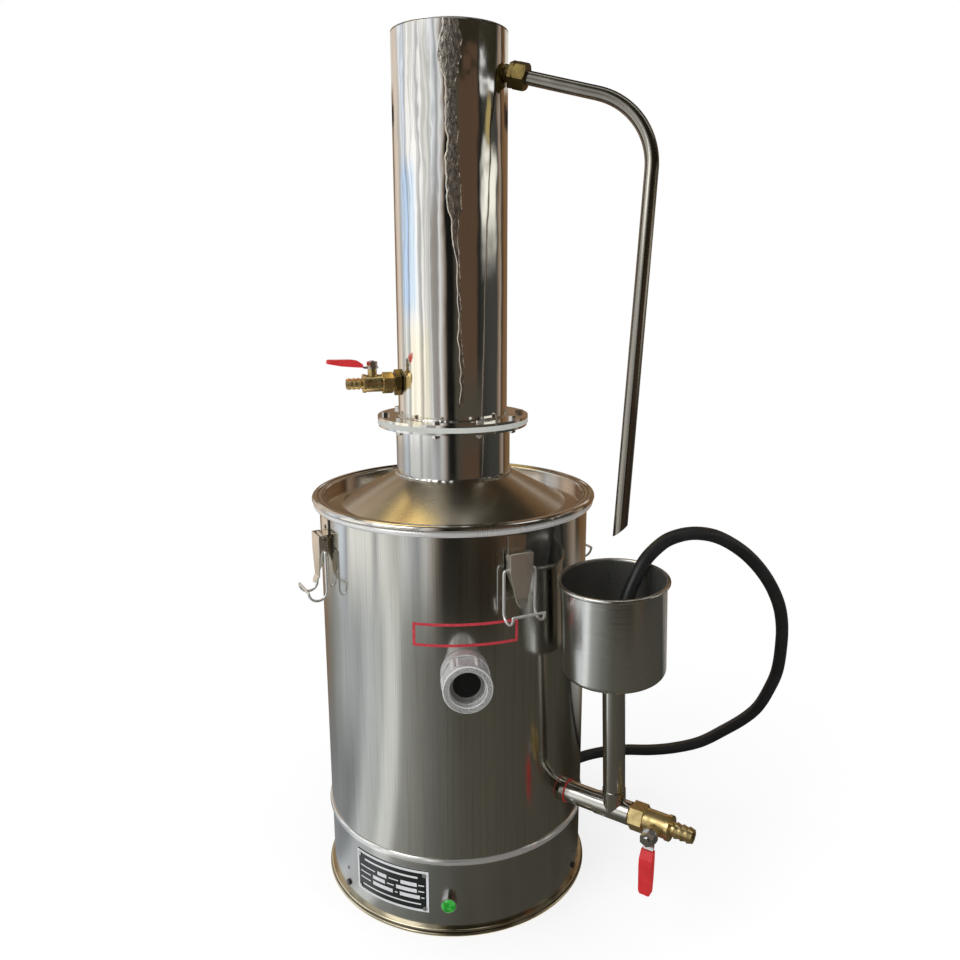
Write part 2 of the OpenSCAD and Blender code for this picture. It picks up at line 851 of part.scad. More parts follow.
// Side view of the bent lever
function lever_side() = [
    [-6, handle_z], [8, handle_z], [15, handle_z + 5], [handle_l, handle_z + 6.5],
    [handle_l, handle_z + 6.5 + handle_t], [14.6, handle_z + 5 + handle_t],
    [7.6, handle_z + handle_t], [-6, handle_z + handle_t]
];

module lever_plan(half, x0, x1) {
    linear_extrude(handle_z + 30) {
        translate([x0, -half]) square([x1 - x0 - half, 2 * half]);
        translate([x1 - half, 0]) circle(r = half);
        circle(r = 6);
    }
}

module lever_blank() {
    intersection() {
        translate([0, handle_w, 0]) rotate([90, 0, 0]) linear_extrude(2 * handle_w) polygon(lever_side());
        lever_plan(handle_w / 2 - 1, 0, handle_l);
    }
}

module valve_handle() {
    difference() {
        lever_blank();
        cylinder(r = stem_r + fit, h = handle_z + 10);
    }
}

// Dipped grip that closes round the lever, deeper in its middle
module valve_grip() {
    side = [
        [9.5, handle_z + 1.2], [16, handle_z + 1.6], [30, handle_z + 3], [handle_l + 1, handle_z + 5.6],
        [handle_l + 1.4, handle_z + 7.5], [handle_l, handle_z + 9.2], [20, handle_z + 8.7],
        [14.5, handle_z + 7.8], [9.5, handle_z + 4.4]
    ];
    difference() {
        intersection() {
            translate([0, handle_w, 0]) rotate([90, 0, 0]) linear_extrude(2 * handle_w) polygon(side);
            linear_extrude(handle_z + 30) {
                translate([9.5, -handle_w / 2]) square([handle_l - 8.1 - handle_w / 2, handle_w]);
                translate([handle_l + 1.4 - handle_w / 2, 0]) circle(d = handle_w);
            }
        }
        lever_blank();
    }
}

module valve_nut() {
    difference() {
        translate([0, 0, handle_z + handle_t]) cylinder(d = nut_hex / cos(30), h = nut_h, $fn = 6);
        cylinder(r = stem_r + fit, h = handle_z + 10);
    }
}

// The drain valve's stem lies level and its lever hangs down when it is shut
module at_drain(turn = 0) {
    at_feed() translate([drain_x, 0, 0]) rotate([90, 0, 0]) scale(drain_size) rotate([0, 0, turn]) children();
}

module at_inlet() {
    at_az(inlet_az, inlet_z) translate([inlet_x, 0, 0]) children();
}

module drain_valve_body() {
    color(brass) at_drain() valve_body();
}

module drain_hose_tail() {
    color(brass) at_drain() valve_tail();
}

module drain_ball() {
    color(steel) at_drain(-90) valve_ball();
}

module drain_handle() {
    color(steel) at_drain(-90) valve_handle();
}

module drain_grip() {
    color(red) at_drain(-90) valve_grip();
}

module drain_nut() {
    color(steel) at_drain(-90) valve_nut();
}

// Latches, with x outwards from the boiler and the pin at the origin

module at_latch(az) {
    at_az(az, pin_z) translate([pin_x, 0, 0]) children();
}

module cross_rod(r, half) {
    rotate([90, 0, 0]) cylinder(r = r, h = 2 * half, center = true);
}

module latch_bases() {
    back = -latch_out + strip_lift;
    color(steel) for (az = latch_azimuths) at_latch(az) difference() {
        union() {
            translate([back, -strip_half, strip_low]) cube([strip_t, 2 * strip_half, strip_h]);
            translate([back, -knuckle_half, strip_low]) cube([-back, 2 * knuckle_half, strip_t]);
            cross_rod(knuckle_r, knuckle_half);
        }
        cross_rod(pin_r + run, knuckle_half + over);
        translate([0, 0, strip_rivet_up]) rod(rivet_r + fit, back - over, back + strip_t + over);
    }
}

module latch_pins() {
    head = 1;
    reach = lever_w / 2 + 0.2;
    color(steel) for (az = latch_azimuths) at_latch(az) {
        cross_rod(pin_r, reach + head);
        for (side = [-1, 1])
            translate([0, side * (reach + head / 2), 0]) cross_rod(pin_r + 1, head / 2);
    }
}

module latch_lever(az) {
    half = lever_w / 2;
    bend_z = lever_bend - lever_l;
    face = [
        [-half, lever_top], [-half, -lever_straight], [-lever_tip_r, bend_z],
        [lever_tip_r, bend_z], [half, -lever_straight], [half, lever_top]
    ];
    tip_r = lever_tip_r - 0.4;
    tip = concat([[tip_r, 0.8], [-tip_r, 0.8]], arc(0, tip_r - lever_bend, tip_r, 180, 360, 12));
    wall = [
        [half, lever_top], [half, -lever_straight], [lever_tip_r, bend_z],
        [lever_tip_r - lever_t, bend_z], [half - lever_t, -lever_straight], [half - lever_t, lever_top]
    ];
    depth = [
        [-lever_depth, lever_top], [lever_back + lever_t, lever_top], [lever_back + lever_t, bend_z + 5],
        [-lever_depth, -lever_straight - 3]
    ];
    color(steel) at_latch(az) difference() {
        union() {
            translate([lever_back, 0, 0]) rotate([90, 0, 90]) linear_extrude(lever_t) polygon(face);
            translate([lever_back, 0, bend_z]) rotate([0, -lever_kick, 0]) rotate([90, 0, 90])
                linear_extrude(lever_t) polygon(tip);
            intersection() {
                for (side = [0, 1]) mirror([0, side, 0])
                    translate([-lever_depth, 0, 0]) rotate([90, 0, 90])
                        linear_extrude(lever_depth + lever_back + lever_t / 2) polygon(wall);
                translate([0, lever_w, 0]) rotate([90, 0, 0]) linear_extrude(2 * lever_w) polygon(depth);
            }
        }
        cross_rod(pin_r + run, half + over);
        translate([bail_x, 0, bail_z]) cross_rod(wire_r + run, half + over);
    }
}

module latch_bail(az) {
    inner = lever_w / 2 - lever_t - 0.7;
    low = bail_z - bail_leg;
    end_x = bail_x + 2 * bail_hook;
    bend_y = bail_half - bail_corner;
    color(steel) at_latch(az) {
        for (side = [0, 1]) mirror([0, side, 0]) {
            translate([bail_x, (inner + bend_y) / 2, bail_z]) cross_rod(wire_r, (bend_y - inner) / 2);
            translate([bail_x, bend_y, bail_z - bail_corner]) rotate([90, 0, 90])
                rotate_extrude(angle = 90) translate([bail_corner, 0]) circle(r = wire_r);
            translate([bail_x, bail_half, low]) cylinder(r = wire_r, h = bail_leg - bail_corner);
            translate([bail_x + bail_hook, bail_half, low]) rotate([-90, 0, 0])
                rotate_extrude(angle = 180) translate([bail_hook, 0]) circle(r = wire_r);
            translate([end_x, bail_half, low]) sphere(r = wire_r);
        }
        translate([end_x, 0, low]) cross_rod(wire_r, bail_half);
    }
}

// Mains lead

module cord_gland() {
    color(black) at_az(gland_az, gland_z) {
        rod(gland_r, skirt_r - 8, skirt_r + 1);
        hex_rod(24, skirt_r + fit, skirt_r + 7);
        translate([skirt_r + 7, 0, 0]) rotate([0, 90, 0])
            cylinder(r1 = 10.5, r2 = cord_d / 2 + 1, h = gland_l - 7);
    }
}

// Round lead with its three cores bared at the free end
module power_cord() {
    last = len(cord_path) - 1;
    t = unit(cord_path[last] - cord_path[last - 1]);
    n = level([1, 0, 0], t);
    color(black) {
        tube_along(cord_path, cord_d / 2, cord_sides);
        for (k = [0, 1, 2]) {
            off = core_ring * (cos(120 * k) * n + sin(120 * k) * cross(t, n));
            tip = cord_path[last] + off - 2 * t;
            tube_along([tip, tip + core_l * 0.5 * t, tip + core_l * t + 0.6 * off], core_r, 8);
        }
    }
}

// Lid

// Sheet lid: cone, recessed floor, inner land and an outer bead
module lid() {
    edge = 1.5;
    root = neck_r + fit;
    bead = 0.85 * lid_rim_h;
    land = lid_top - 0.36 * bead;
    profile = concat(
        [[root, cone_top - 1.13 * sheet], [root, cone_top], [cone_d / 2, lid_floor], [lid_wall_r, lid_floor]],
        arc(lid_wall_r + edge, land - edge, edge, 180, 90, 4),
        arc(lid_r - bead, lid_top - bead, bead, 140, 0),
        [[lid_r, lid_bottom], [lid_wall_r + sheet, lid_bottom], [lid_wall_r + sheet, lid_floor - sheet]],
        [[cone_d / 2 - 0.25 * sheet, lid_floor - sheet]]
    );
    color(steel) rotate_extrude($fn = 128) polygon(profile);
}

module lid_seal() {
    color(cream) ring(rim_r - rim_h / 2, shell_r, rim_z, lid_bottom, $fn = 128);
}

module neck() {
    color(steel) difference() {
        union() {
            ring(neck_r, neck_r - sheet, cone_top - 2, neck_top);
            ring(flange_d / 2 - 1, neck_r - sheet, flange_bottom, neck_top);
        }
        bolt_rods(bolt_d / 2 + 0.2, flange_bottom - over, neck_top + over);
    }
}

module bolt_rods(r, z0, z1) {
    for (i = [0 : bolt_n - 1])
        at_az(bolt_start + 360 * i / bolt_n) translate([bolt_circle / 2, 0, z0]) cylinder(r = r, h = z1 - z0);
}

module flange_gasket() {
    color(cream) difference() {
        ring(flange_d / 2, cond_r - sheet, neck_top, cond_z);
        bolt_rods(bolt_d / 2 + 0.2, neck_top - over, cond_z + over);
    }
}

module flange_bolts() {
    color(steel) {
        bolt_rods(bolt_d / 2, flange_bottom - bolt_nut_h - bolt_end, flange_top + bolt_head_h);
        bolt_rods(bolt_d / 2 * bolt_hex, flange_top, flange_top + bolt_head_h, $fn = 6);
    }
}

module flange_nuts() {
    color(steel) difference() {
        bolt_rods(bolt_d / 2 * bolt_hex, flange_bottom - bolt_nut_h, flange_bottom, $fn = 6);
        bolt_rods(bolt_d / 2 + fit, flange_bottom - bolt_nut_h - over, flange_bottom + over);
    }
}

// Condenser

module condenser_shell() {
    color(steel) difference() {
        union() {
            ring(cond_r, cond_r - sheet, cond_z, cond_top);
            translate([0, 0, cond_top - cond_top_t]) cylinder(r = cond_r, h = cond_top_t);
            ring(flange_d / 2, cond_r - sheet, cond_z, flange_top);
        }
        bolt_rods(bolt_d / 2 + 0.2, cond_z - over, flange_top + over);
        at_az(inlet_az, inlet_z) rod(bush_r + fit, cond_r - 20, cond_r + 20);
        at_az(outlet_az, outlet_z) rod(outlet_boss_r + fit, cond_r - 20, cond_r + 20);
        at_return() rod(return_boss_r + fit, -20, 20);
    }
}

// Chamber that the cooling water surrounds, with the distillate outlet welded to it
module inner_chamber() {
    r = chamber_d / 2;
    base = cond_z + tray_t;
    wall = 1;
    color(steel) difference() {
        union() {
            translate([0, 0, base]) cylinder(r = r, h = chamber_h);
            at_az(outlet_az, outlet_z) {
                rod(outlet_boss_r, r - 5, cond_r + outlet_boss_l - 1);
                translate([cond_r + outlet_boss_l - 1, 0, 0]) rotate([0, 90, 0])
                    cylinder(r1 = outlet_boss_r, r2 = outlet_d / 2, h = 1);
                rod(outlet_d / 2, r - 4, cond_r + outlet_l);
            }
        }
        translate([0, 0, base - over]) cylinder(r = r - wall, h = chamber_h - wall + over);
        at_az(outlet_az, outlet_z) rod(outlet_d / 2 - wall, r - 10, cond_r + outlet_l + over);
    }
}

module steam_riser() {
    color(steel) difference() {
        union() {
            translate([0, 0, cond_z]) cylinder(r = cond_r - sheet - fit, h = tray_t);
            translate([0, 0, cond_z]) cylinder(r = riser_d / 2, h = riser_h);
        }
        translate([0, 0, cond_z - over]) cylinder(r = riser_d / 2 - sheet, h = riser_h + 2 * over);
    }
}

// Water inlet

module inlet_bush() {
    color(brass) at_az(inlet_az, inlet_z) difference() {
        union() {
            rod(bush_r, cond_r - 4, cond_r + 1);
            hex_rod(bush_hex, cond_r + fit, cond_r + bush_l);
        }
        rod(valve_nipple_r + run, cond_r - 10, cond_r + bush_l + over);
    }
}

module inlet_valve_body() {
    color(brass) at_inlet() valve_body();
}

module inlet_hose_tail() {
    color(brass) at_inlet() valve_tail();
}

module inlet_ball() {
    color(steel) at_inlet() valve_ball();
}

module inlet_handle() {
    color(steel) at_inlet() valve_handle();
}

module inlet_grip() {
    color(red) at_inlet() valve_grip();
}

module inlet_nut() {
    color(steel) at_inlet() valve_nut();
}

// Water return

// Frame with x along the return fitting, from the condenser's surface
module at_return() {
    at_az(return_az, return_z) rotate([-return_lean, 0, 0]) translate([cond_r, 0, 0])
        rotate([0, return_droop, 0]) children();
}

module return_adaptor() {
    color(brass) at_return() difference() {
        union() {
            rod(return_boss_r, -6, adaptor_x);
            hex_rod(adaptor_hex, adaptor_x, adaptor_end);
            rod(return_r + 2, adaptor_end, return_tube_x - fit);
        }
        rod(return_r - return_wall, -10, return_tube_x + over);
    }
}

module return_nut() {
    chamfer = 1.5;
    corner = return_nut_hex * 0.58;
    color(brass) at_return() difference() {
        intersection() {
            hex_rod(return_nut_hex, adaptor_end, return_nut_end);
            rotate([0, 90, 0]) rotate_extrude() polygon([
                [0, adaptor_end], [corner - chamfer, adaptor_end], [corner, adaptor_end + chamfer],
                [corner, return_nut_end - chamfer], [corner - chamfer, return_nut_end], [0, return_nut_end]
            ]);
        }
        rod(return_r + 2 + fit, adaptor_end - over, return_tube_x);
        rod(return_r + fit, adaptor_end, return_nut_end + over);
    }
}

module hollow_rod(outer, inner, x0, x1) {
    translate([x0, 0, 0]) rotate([0, 90, 0]) linear_extrude(x1 - x0) difference() {
        circle(r = outer);
        circle(r = inner);
    }
}

// Upper leg, bend and lower leg, with the lower end cut on a slant
module return_tube() {
    slant = 43;
    slant_turn = -18;
    joint = 0.5;
    inner = return_r - return_wall;
    color(steel) at_return() {
        hollow_rod(return_r, inner, return_tube_x, return_leg + joint);
        translate([return_leg, 0, -return_bend]) rotate([90, 0, 0]) rotate([0, 0, 90 - return_turn])
            rotate_extrude(angle = return_turn) translate([return_bend, 0]) difference() {
                circle(r = return_r + fit);
                circle(r = inner - fit);
            }
        translate([return_leg + return_bend * sin(return_turn), 0, return_bend * (cos(return_turn) - 1)])
            rotate([0, return_turn, 0]) difference() {
                hollow_rod(return_r, inner, -joint, return_drop);
                translate([return_drop - return_r * tan(slant), 0, 0]) rotate([slant_turn, 0, 0])
                    rotate([0, -slant, 0]) translate([0, -2 * return_d, -4 * return_d])
                        cube([4 * return_d, 4 * return_d, 8 * return_d]);
            }
    }
}

boiler_shell();
boiler_floor();
skirt();
foot_ring();
base_cover();
base_screws();
heating_elements();
element_nuts();
terminal_block();
heater_leads();
indicator_bezel();
indicator_lens();
nameplate();
rivets();
sight_body();
sight_gasket();
sight_glass();
sight_ring();
feed_seal();
feed_pipe();
feed_tee();
stand_pipe();
feed_cup();
drain_valve_body();
drain_hose_tail();
drain_ball();
drain_handle();
drain_grip();
drain_nut();
latch_bases();
latch_pins();
latch_lever(latch_azimuths[0]);  // latch_lever_1
latch_lever(latch_azimuths[1]);  // latch_lever_2
latch_lever(latch_azimuths[2]);  // latch_lever_3
latch_lever(latch_azimuths[3]);  // latch_lever_4
latch_bail(latch_azimuths[0]);  // latch_bail_1
latch_bail(latch_azimuths[1]);  // latch_bail_2
latch_bail(latch_azimuths[2]);  // latch_bail_3
latch_bail(latch_azimuths[3]);  // latch_bail_4
cord_gland();
power_cord();
lid();
lid_seal();
neck();
flange_gasket();
flange_bolts();
flange_nuts();
condenser_shell();
inner_chamber();
steam_riser();
inlet_bush();
inlet_valve_body();
inlet_hose_tail();
inlet_ball();
inlet_handle();
inlet_grip();
inlet_nut();
return_adaptor();
return_nut();
return_tube();
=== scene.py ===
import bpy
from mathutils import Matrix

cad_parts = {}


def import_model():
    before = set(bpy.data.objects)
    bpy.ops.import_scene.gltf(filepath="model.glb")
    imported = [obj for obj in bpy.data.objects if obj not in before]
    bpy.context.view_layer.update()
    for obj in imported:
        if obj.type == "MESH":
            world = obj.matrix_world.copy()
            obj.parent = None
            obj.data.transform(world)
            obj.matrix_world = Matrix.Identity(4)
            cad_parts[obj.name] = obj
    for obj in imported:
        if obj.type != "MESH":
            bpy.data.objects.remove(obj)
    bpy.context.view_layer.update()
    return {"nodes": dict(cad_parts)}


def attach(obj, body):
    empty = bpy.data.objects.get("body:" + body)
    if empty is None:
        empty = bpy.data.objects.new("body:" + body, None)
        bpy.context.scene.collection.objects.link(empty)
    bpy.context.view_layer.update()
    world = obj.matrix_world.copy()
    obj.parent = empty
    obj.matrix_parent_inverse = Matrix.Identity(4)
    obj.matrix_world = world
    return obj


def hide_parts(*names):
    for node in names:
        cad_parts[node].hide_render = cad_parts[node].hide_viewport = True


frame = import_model()

import math

import bmesh
import bpy
from mathutils import Matrix, Vector, noise

nodes = frame["nodes"]
scene = bpy.context.scene
scene.view_settings.view_transform = "Standard"

# Sizes shared with the solids, in metres, and azimuths in degrees from -Y towards +X
SHELL_R = 0.1355
RIM_FOOT_Z = 0.404
BAND_MID_Z = 0.0797
SKIRT_R = 0.135
FOOT_GROOVE_Z = 0.004
PLATE_AZ = -27.8
PLATE_Z = 0.0453
PLATE_GAP = 0.00005
PLATE_T = 0.0008
SIGHT_AZ = 5.4
SIGHT_Z = 0.276
SIGHT_R = 0.02225
SIGHT_MOUTH_R = 0.0165
CUP_X = 0.1485
CUP_Y = -0.1217
CONE_FOOT_R = 0.113
CONE_TOP = 0.435
LID_WALL_R = 0.131
LID_LAND_R = 0.1327
LID_BEAD_R = 0.1368
NECK_R = 0.057
FLANGE_TOP = 0.4925
COND_R = 0.054
COND_TOP = 0.843
LEAD_R = 0.0065

# Sizes of what this script adds, in metres
CORE_R = 0.0016
CORE_RING_R = 0.003
PRINT_LIFT = 0.00012
PRINT_ROOT = 0.0002


def around(az, rho, z):
    """Point at an azimuth in degrees from -Y towards +X."""
    a = math.radians(az)
    return Vector((rho * math.sin(a), -rho * math.cos(a), z))


# Camera

def make_camera():
    """Camera fitted to the photo, with angles in radians and the lens in millimetres."""
    yaw, pitch, roll = -0.0016, 0.2249, -0.0029
    place = Vector((0.02835, -0.8757, 0.6244))
    ahead = Vector((math.sin(yaw) * math.cos(pitch), math.cos(yaw) * math.cos(pitch), -math.sin(pitch)))
    level = Vector((math.cos(yaw), -math.sin(yaw), 0))
    above = level.cross(ahead)
    right = math.cos(roll) * level + math.sin(roll) * above
    up = -math.sin(roll) * level + math.cos(roll) * above
    data = bpy.data.cameras.new("camera")
    data.lens = 33.04
    data.sensor_width = 36
    data.clip_start = 0.01
    data.clip_end = 200
    camera = bpy.data.objects.new("camera", data)
    scene.collection.objects.link(camera)
    pose = Matrix((right, up, -ahead)).transposed().to_4x4()
    pose.translation = place
    camera.matrix_world = pose
    scene.camera = camera


make_camera()


# Materials

EVEN = (1, 1, 1)


class Mat:
    """A node material with a few short ways to write it."""

    def __init__(self, name):
        self.material = bpy.data.materials.new(name)
        self.material.use_nodes = True
        self.tree = self.material.node_tree
        self.tree.nodes.clear()
        self.out = self.add("ShaderNodeOutputMaterial")
        self.shader = self.add("ShaderNodeBsdfPrincipled")
        self.link(self.shader.outputs[0], self.out.inputs[0])
        self.coords = None
        self.turn = None

    def add(self, kind, **properties):
        node = self.tree.nodes.new(kind)
        for name, value in properties.items():
            setattr(node, name, value)
        return node

    def link(self, source, socket):
        self.tree.links.new(source, socket)

    def put(self, socket, value):
        """Links another socket, or sets a constant."""
        if isinstance(value, bpy.types.NodeSocket):
            self.link(value, socket)
        else:
            socket.default_value = value

    def set(self, **values):
        """Inputs of the shader by name, with underscores for spaces."""
        for name, value in values.items():
            self.put(self.shader.inputs[name.replace("_", " ")], value)

    def now(self, name):
        """What feeds an input of the shader so far."""
        return self.shader.inputs[name].links[0].from_socket

    def calc(self, operation, a, b=0.0, clamp=False):
        node = self.add("ShaderNodeMath", operation=operation, use_clamp=clamp)
        self.put(node.inputs[0], a)
        self.put(node.inputs[1], b)
        return node.outputs[0]

    def plus(self, a, b, clamp=False):
        return self.calc("ADD", a, b, clamp)

    def minus(self, a, b):
        return self.calc("SUBTRACT", a, b)

    def times(self, *factors):
        product = factors[0]
        for factor in factors[1:]:
            product = self.calc("MULTIPLY", product, factor)
        return product

    def at(self):
        """Object coordinates and their parts."""
        if self.coords is None:
            place = self.add("ShaderNodeTexCoord").outputs["Object"]
            parts = self.add("ShaderNodeSeparateXYZ")
            self.link(place, parts.inputs[0])
            self.coords = (place, *parts.outputs)
        return self.coords

    def azimuth(self):
        """Azimuth in radians."""
        if self.turn is None:
            _, x, y, _ = self.at()
            self.turn = self.calc("ARCTAN2", x, self.times(y, -1.0))
        return self.turn

    def rho(self):
        """Distance from the Z axis."""
        _, x, y, _ = self.at()
        return self.calc("SQRT", self.plus(self.times(x, x), self.times(y, y)))

    def rolled(self, radius):
        """Coordinates unrolled from a cylinder: arc length, 0, height."""
        flat = self.add("ShaderNodeCombineXYZ")
        self.link(self.times(self.azimuth(), radius), flat.inputs[0])
        self.link(self.at()[3], flat.inputs[2])
        return flat.outputs[0]

    def noise(self, scale, vector=None, stretch=EVEN, detail=2.0, rough=0.5, seed=0.0):
        """Noise of 0 to 1, taken at a place that the seed sets."""
        placed = self.add("ShaderNodeMapping")
        placed.inputs["Location"].default_value = (seed, seed * 1.7, seed * 0.6)
        placed.inputs["Scale"].default_value = stretch
        self.link(self.at()[0] if vector is None else vector, placed.inputs[0])
        node = self.add("ShaderNodeTexNoise")
        node.inputs["Scale"].default_value = scale
        node.inputs["Detail"].default_value = detail
        node.inputs["Roughness"].default_value = rough
        self.link(placed.outputs[0], node.inputs["Vector"])
        return node.outputs["Fac"]

    def span(self, value, start, end, low=0.0, high=1.0):
        """low up to the start, high from the end on, and a smooth step between them."""
        node = self.add("ShaderNodeMapRange", interpolation_type="SMOOTHSTEP", clamp=True)
        for socket, given in zip(node.inputs, (value, start, end, low, high)):
            self.put(socket, given)
        return node.outputs[0]

    def fall(self, value, start, end):
        """1 up to the start, 0 from the end on."""
        return self.span(value, start, end, 1.0, 0.0)

    def near(self, value, middle, flat, reach):
        """1 within flat of the middle, falling to 0 at reach."""
        return self.fall(self.calc("ABSOLUTE", self.minus(value, middle)), flat, reach)

    def facing(self, middle, flat, reach):
        """The same for the azimuth, in degrees."""
        return self.near(self.azimuth(), math.radians(middle), math.radians(flat), math.radians(reach))

    def mix(self, amount, a, b):
        """Colour a, or b where the amount is 1."""
        node = self.add("ShaderNodeMix", data_type="RGBA")
        self.put(node.inputs[0], amount)
        for socket, colour in ((node.inputs[6], a), (node.inputs[7], b)):
            self.put(socket, colour if isinstance(colour, bpy.types.NodeSocket) else (*colour, 1.0))
        return node.outputs[2]

    def layered(self, base, *layers):
        """Base colour under layers of (amount, colour)."""
        for amount, colour in layers:
            base = self.mix(amount, base, colour)
        return base

    def tint(self, *layers):
        """Layers of (amount, colour) over the shader's colour so far."""
        self.set(Base_Color=self.layered(self.now("Base Color"), *layers))

    def roughen(self, amount):
        self.set(Roughness=self.plus(self.now("Roughness"), amount))

    def bump(self, *heights):
        """Each height is (socket, distance in metres)."""
        normal = None
        for height, distance in heights:
            node = self.add("ShaderNodeBump")
            node.inputs["Strength"].default_value = 1.0
            node.inputs["Distance"].default_value = distance
            self.link(height, node.inputs["Height"])
            if normal is not None:
                self.link(normal, node.inputs["Normal"])
            normal = node.outputs[0]
        self.link(normal, self.shader.inputs["Normal"])


def eased(m, radius):
    """Edges that catch the light as if rounded by the radius, under the bumps already there."""
    edge = m.add("ShaderNodeBevel", samples=4)
    edge.inputs["Radius"].default_value = radius
    first = m.now("Normal").node
    while first.inputs["Normal"].links:
        first = first.inputs["Normal"].links[0].from_node
    m.link(edge.outputs[0], first.inputs["Normal"])
    return m


def shade(colour, factor):
    return tuple(min(1.0, part * factor) for part in colour)


def steel(name, tint, rough, spread=0.05, radius=None, grain=EVEN, grain_scale=500, scratch=0.00001,
          wobble=0.0, wobble_scale=14, stain=0.16, aniso=0.0):
    """Steel with grain, faint stains and uneven polish.

    radius unrolls the grain round Z. scratch and wobble are depths in metres.
    """
    m = Mat(name)
    v = m.rolled(radius) if radius else m.at()[0]
    fine = m.noise(grain_scale, v, grain, rough=0.6, seed=1.3)
    blot = m.noise(9, v, (1, 1, 0.5), detail=4.0, rough=0.6, seed=4.1)
    streak = m.noise(60, v, (1, 1, 0.06), seed=2.2)
    wear = m.plus(m.times(blot, 0.6), m.times(streak, 0.4))
    base = m.mix(m.span(wear, 0.3, 0.7), shade(tint, 1 - stain), shade(tint, 1 + stain * 0.5))
    m.set(Base_Color=base, Metallic=1.0)
    m.tint((m.span(fine, 0.25, 0.75, 0.0, 0.22), shade(tint, 0.8)))
    m.set(Roughness=m.span(wear, 0.3, 0.7, rough - spread, rough + spread))
    m.roughen(m.times(fine, 0.04))
    if aniso:
        tangent = m.add("ShaderNodeTangent", direction_type="RADIAL", axis="Z")
        m.set(Anisotropic=aniso, Anisotropic_Rotation=0.25, Tangent=tangent.outputs[0])
    heights = []
    if wobble:
        heights.append((m.noise(wobble_scale, v, (1, 1, 0.35), seed=7.7), wobble))
    if scratch:
        heights.append((fine, scratch))
    if heights:
        m.bump(*heights)
    return m


def plain(name, tint, rough, vary=0.12, blot_scale=60, skin_scale=900, skin=0.00003, **more):
    """Cast, moulded or dipped material with mottled colour and a fine skin."""
    m = Mat(name)
    blot = m.noise(blot_scale, detail=4.0, rough=0.6, seed=0.7)
    m.set(Base_Color=m.mix(m.span(blot, 0.3, 0.7), shade(tint, 1 - vary), shade(tint, 1 + vary)))
    m.set(Roughness=m.span(blot, 0.25, 0.75, rough - 0.06, rough + 0.06), **more)
    m.bump((m.noise(skin_scale, seed=3.3), skin))
    return m


def condenser_steel(name):
    """Wavy polished sheet with an uneven weld down its front, widest near the top, with painted reflections
    on its left and a painted highlight along the weld's edges.
    """
    m = steel(name, (0.84, 0.83, 0.81), 0.06, spread=0.03, radius=COND_R, grain=(1, 1, 0.02),
              grain_scale=700, scratch=0.0, stain=0.08)
    v = m.rolled(COND_R)
    z = m.at()[3]
    upper = (0.58, 0.80)
    corner = (COND_TOP - 0.0014, COND_TOP - 0.0005)
    side = m.fall(z, *corner)

    # The weld wanders about its line, and its width swells
    wander = m.times(m.minus(m.noise(34, v, (0, 0, 1), detail=1.0, seed=5.0), 0.5), 0.16)
    line = m.span(z, 0.50, 0.80, 0.20, 0.04)
    off = m.calc("ABSOLUTE", m.minus(m.plus(m.azimuth(), wander), line))
    swell = m.span(m.noise(26, v, (0, 0, 1), seed=11.0), 0.36, 0.66, 0.07, 0.19)
    ragged = m.times(m.minus(m.noise(110, v, (1, 1, 0.6), seed=3.0), 0.5), 0.05)
    width = m.plus(m.times(swell, m.span(z, 0.65, 0.72, 0.22, 1.0)), ragged)
    past = m.minus(off, width)
    length = m.times(m.span(z, 0.500, 0.520), side)
    seam = m.times(m.fall(past, -0.012, 0.010), length)
    # Painted highlight: a bright warm line along the weld's edges, broken up by noise
    broken = m.span(m.noise(90, v, (1, 1, 0.5), seed=6.0), 0.44, 0.56)
    edge = m.times(m.near(past, 0.0, 0.006, 0.024), length, broken)
    ripple = m.noise(260, v, (1, 1, 0.7), detail=3.0, rough=0.6, seed=2.0)
    speckle = m.noise(1500, v, (1, 1, 0.8), rough=0.6, seed=9.0)
    blotch = m.span(m.plus(m.times(ripple, 0.65), m.times(speckle, 0.35)), 0.42, 0.58)
    grey = m.mix(blotch, (0.66, 0.59, 0.49), (0.20, 0.16, 0.12))
    rust = m.mix(blotch, (0.56, 0.42, 0.30), (0.14, 0.08, 0.045))

    # Painted reflections: a pale blue patch and a cream patch on the sheet's left
    painted_blue_reflection = m.times(m.facing(-46, 8, 13), m.near(z, 0.66, 0.05, 0.08))
    painted_cream_reflection = m.times(m.facing(-38, 14, 20), m.span(z, 0.56, 0.60, 0.7, 0.0))
    m.tint((painted_blue_reflection, (0.62, 0.72, 0.84)), (painted_cream_reflection, (0.84, 0.77, 0.60)),
           (m.times(seam, 0.75), m.mix(m.span(z, 0.64, 0.72), rust, grey)),
           (m.times(edge, 0.45), (0.95, 0.80, 0.58)))
    m.set(Metallic=m.minus(1.0, m.times(seam, 0.06)))
    m.roughen(m.plus(m.times(seam, 0.18), m.times(edge, 0.10)))
    m.roughen(m.span(z, *corner, 0.0, 0.24))

    wide = m.noise(15, v, (1.2, 1, 0.45), detail=1.0, seed=7.7)
    wave = m.noise(46, v, (1.0, 1, 0.35), seed=3.9)
    m.bump((m.times(wide, side, m.span(z, *upper, 0.35, 1.0)), 0.0042),
           (m.times(wave, side, m.span(z, *upper, 0.25, 1.0)), 0.0010),
           (m.times(ripple, seam), 0.0008), (m.times(speckle, seam), 0.00014),
           (m.times(seam, m.span(z, *upper)), 0.0005))
    return m


def neck_steel(name):
    """Polished tube with a slight wave."""
    return steel(name, (0.76, 0.755, 0.74), 0.10, spread=0.03, radius=NECK_R, grain=(1, 1, 0.02),
                 grain_scale=700, scratch=0.000005, wobble=0.00025, wobble_scale=18, stain=0.1)


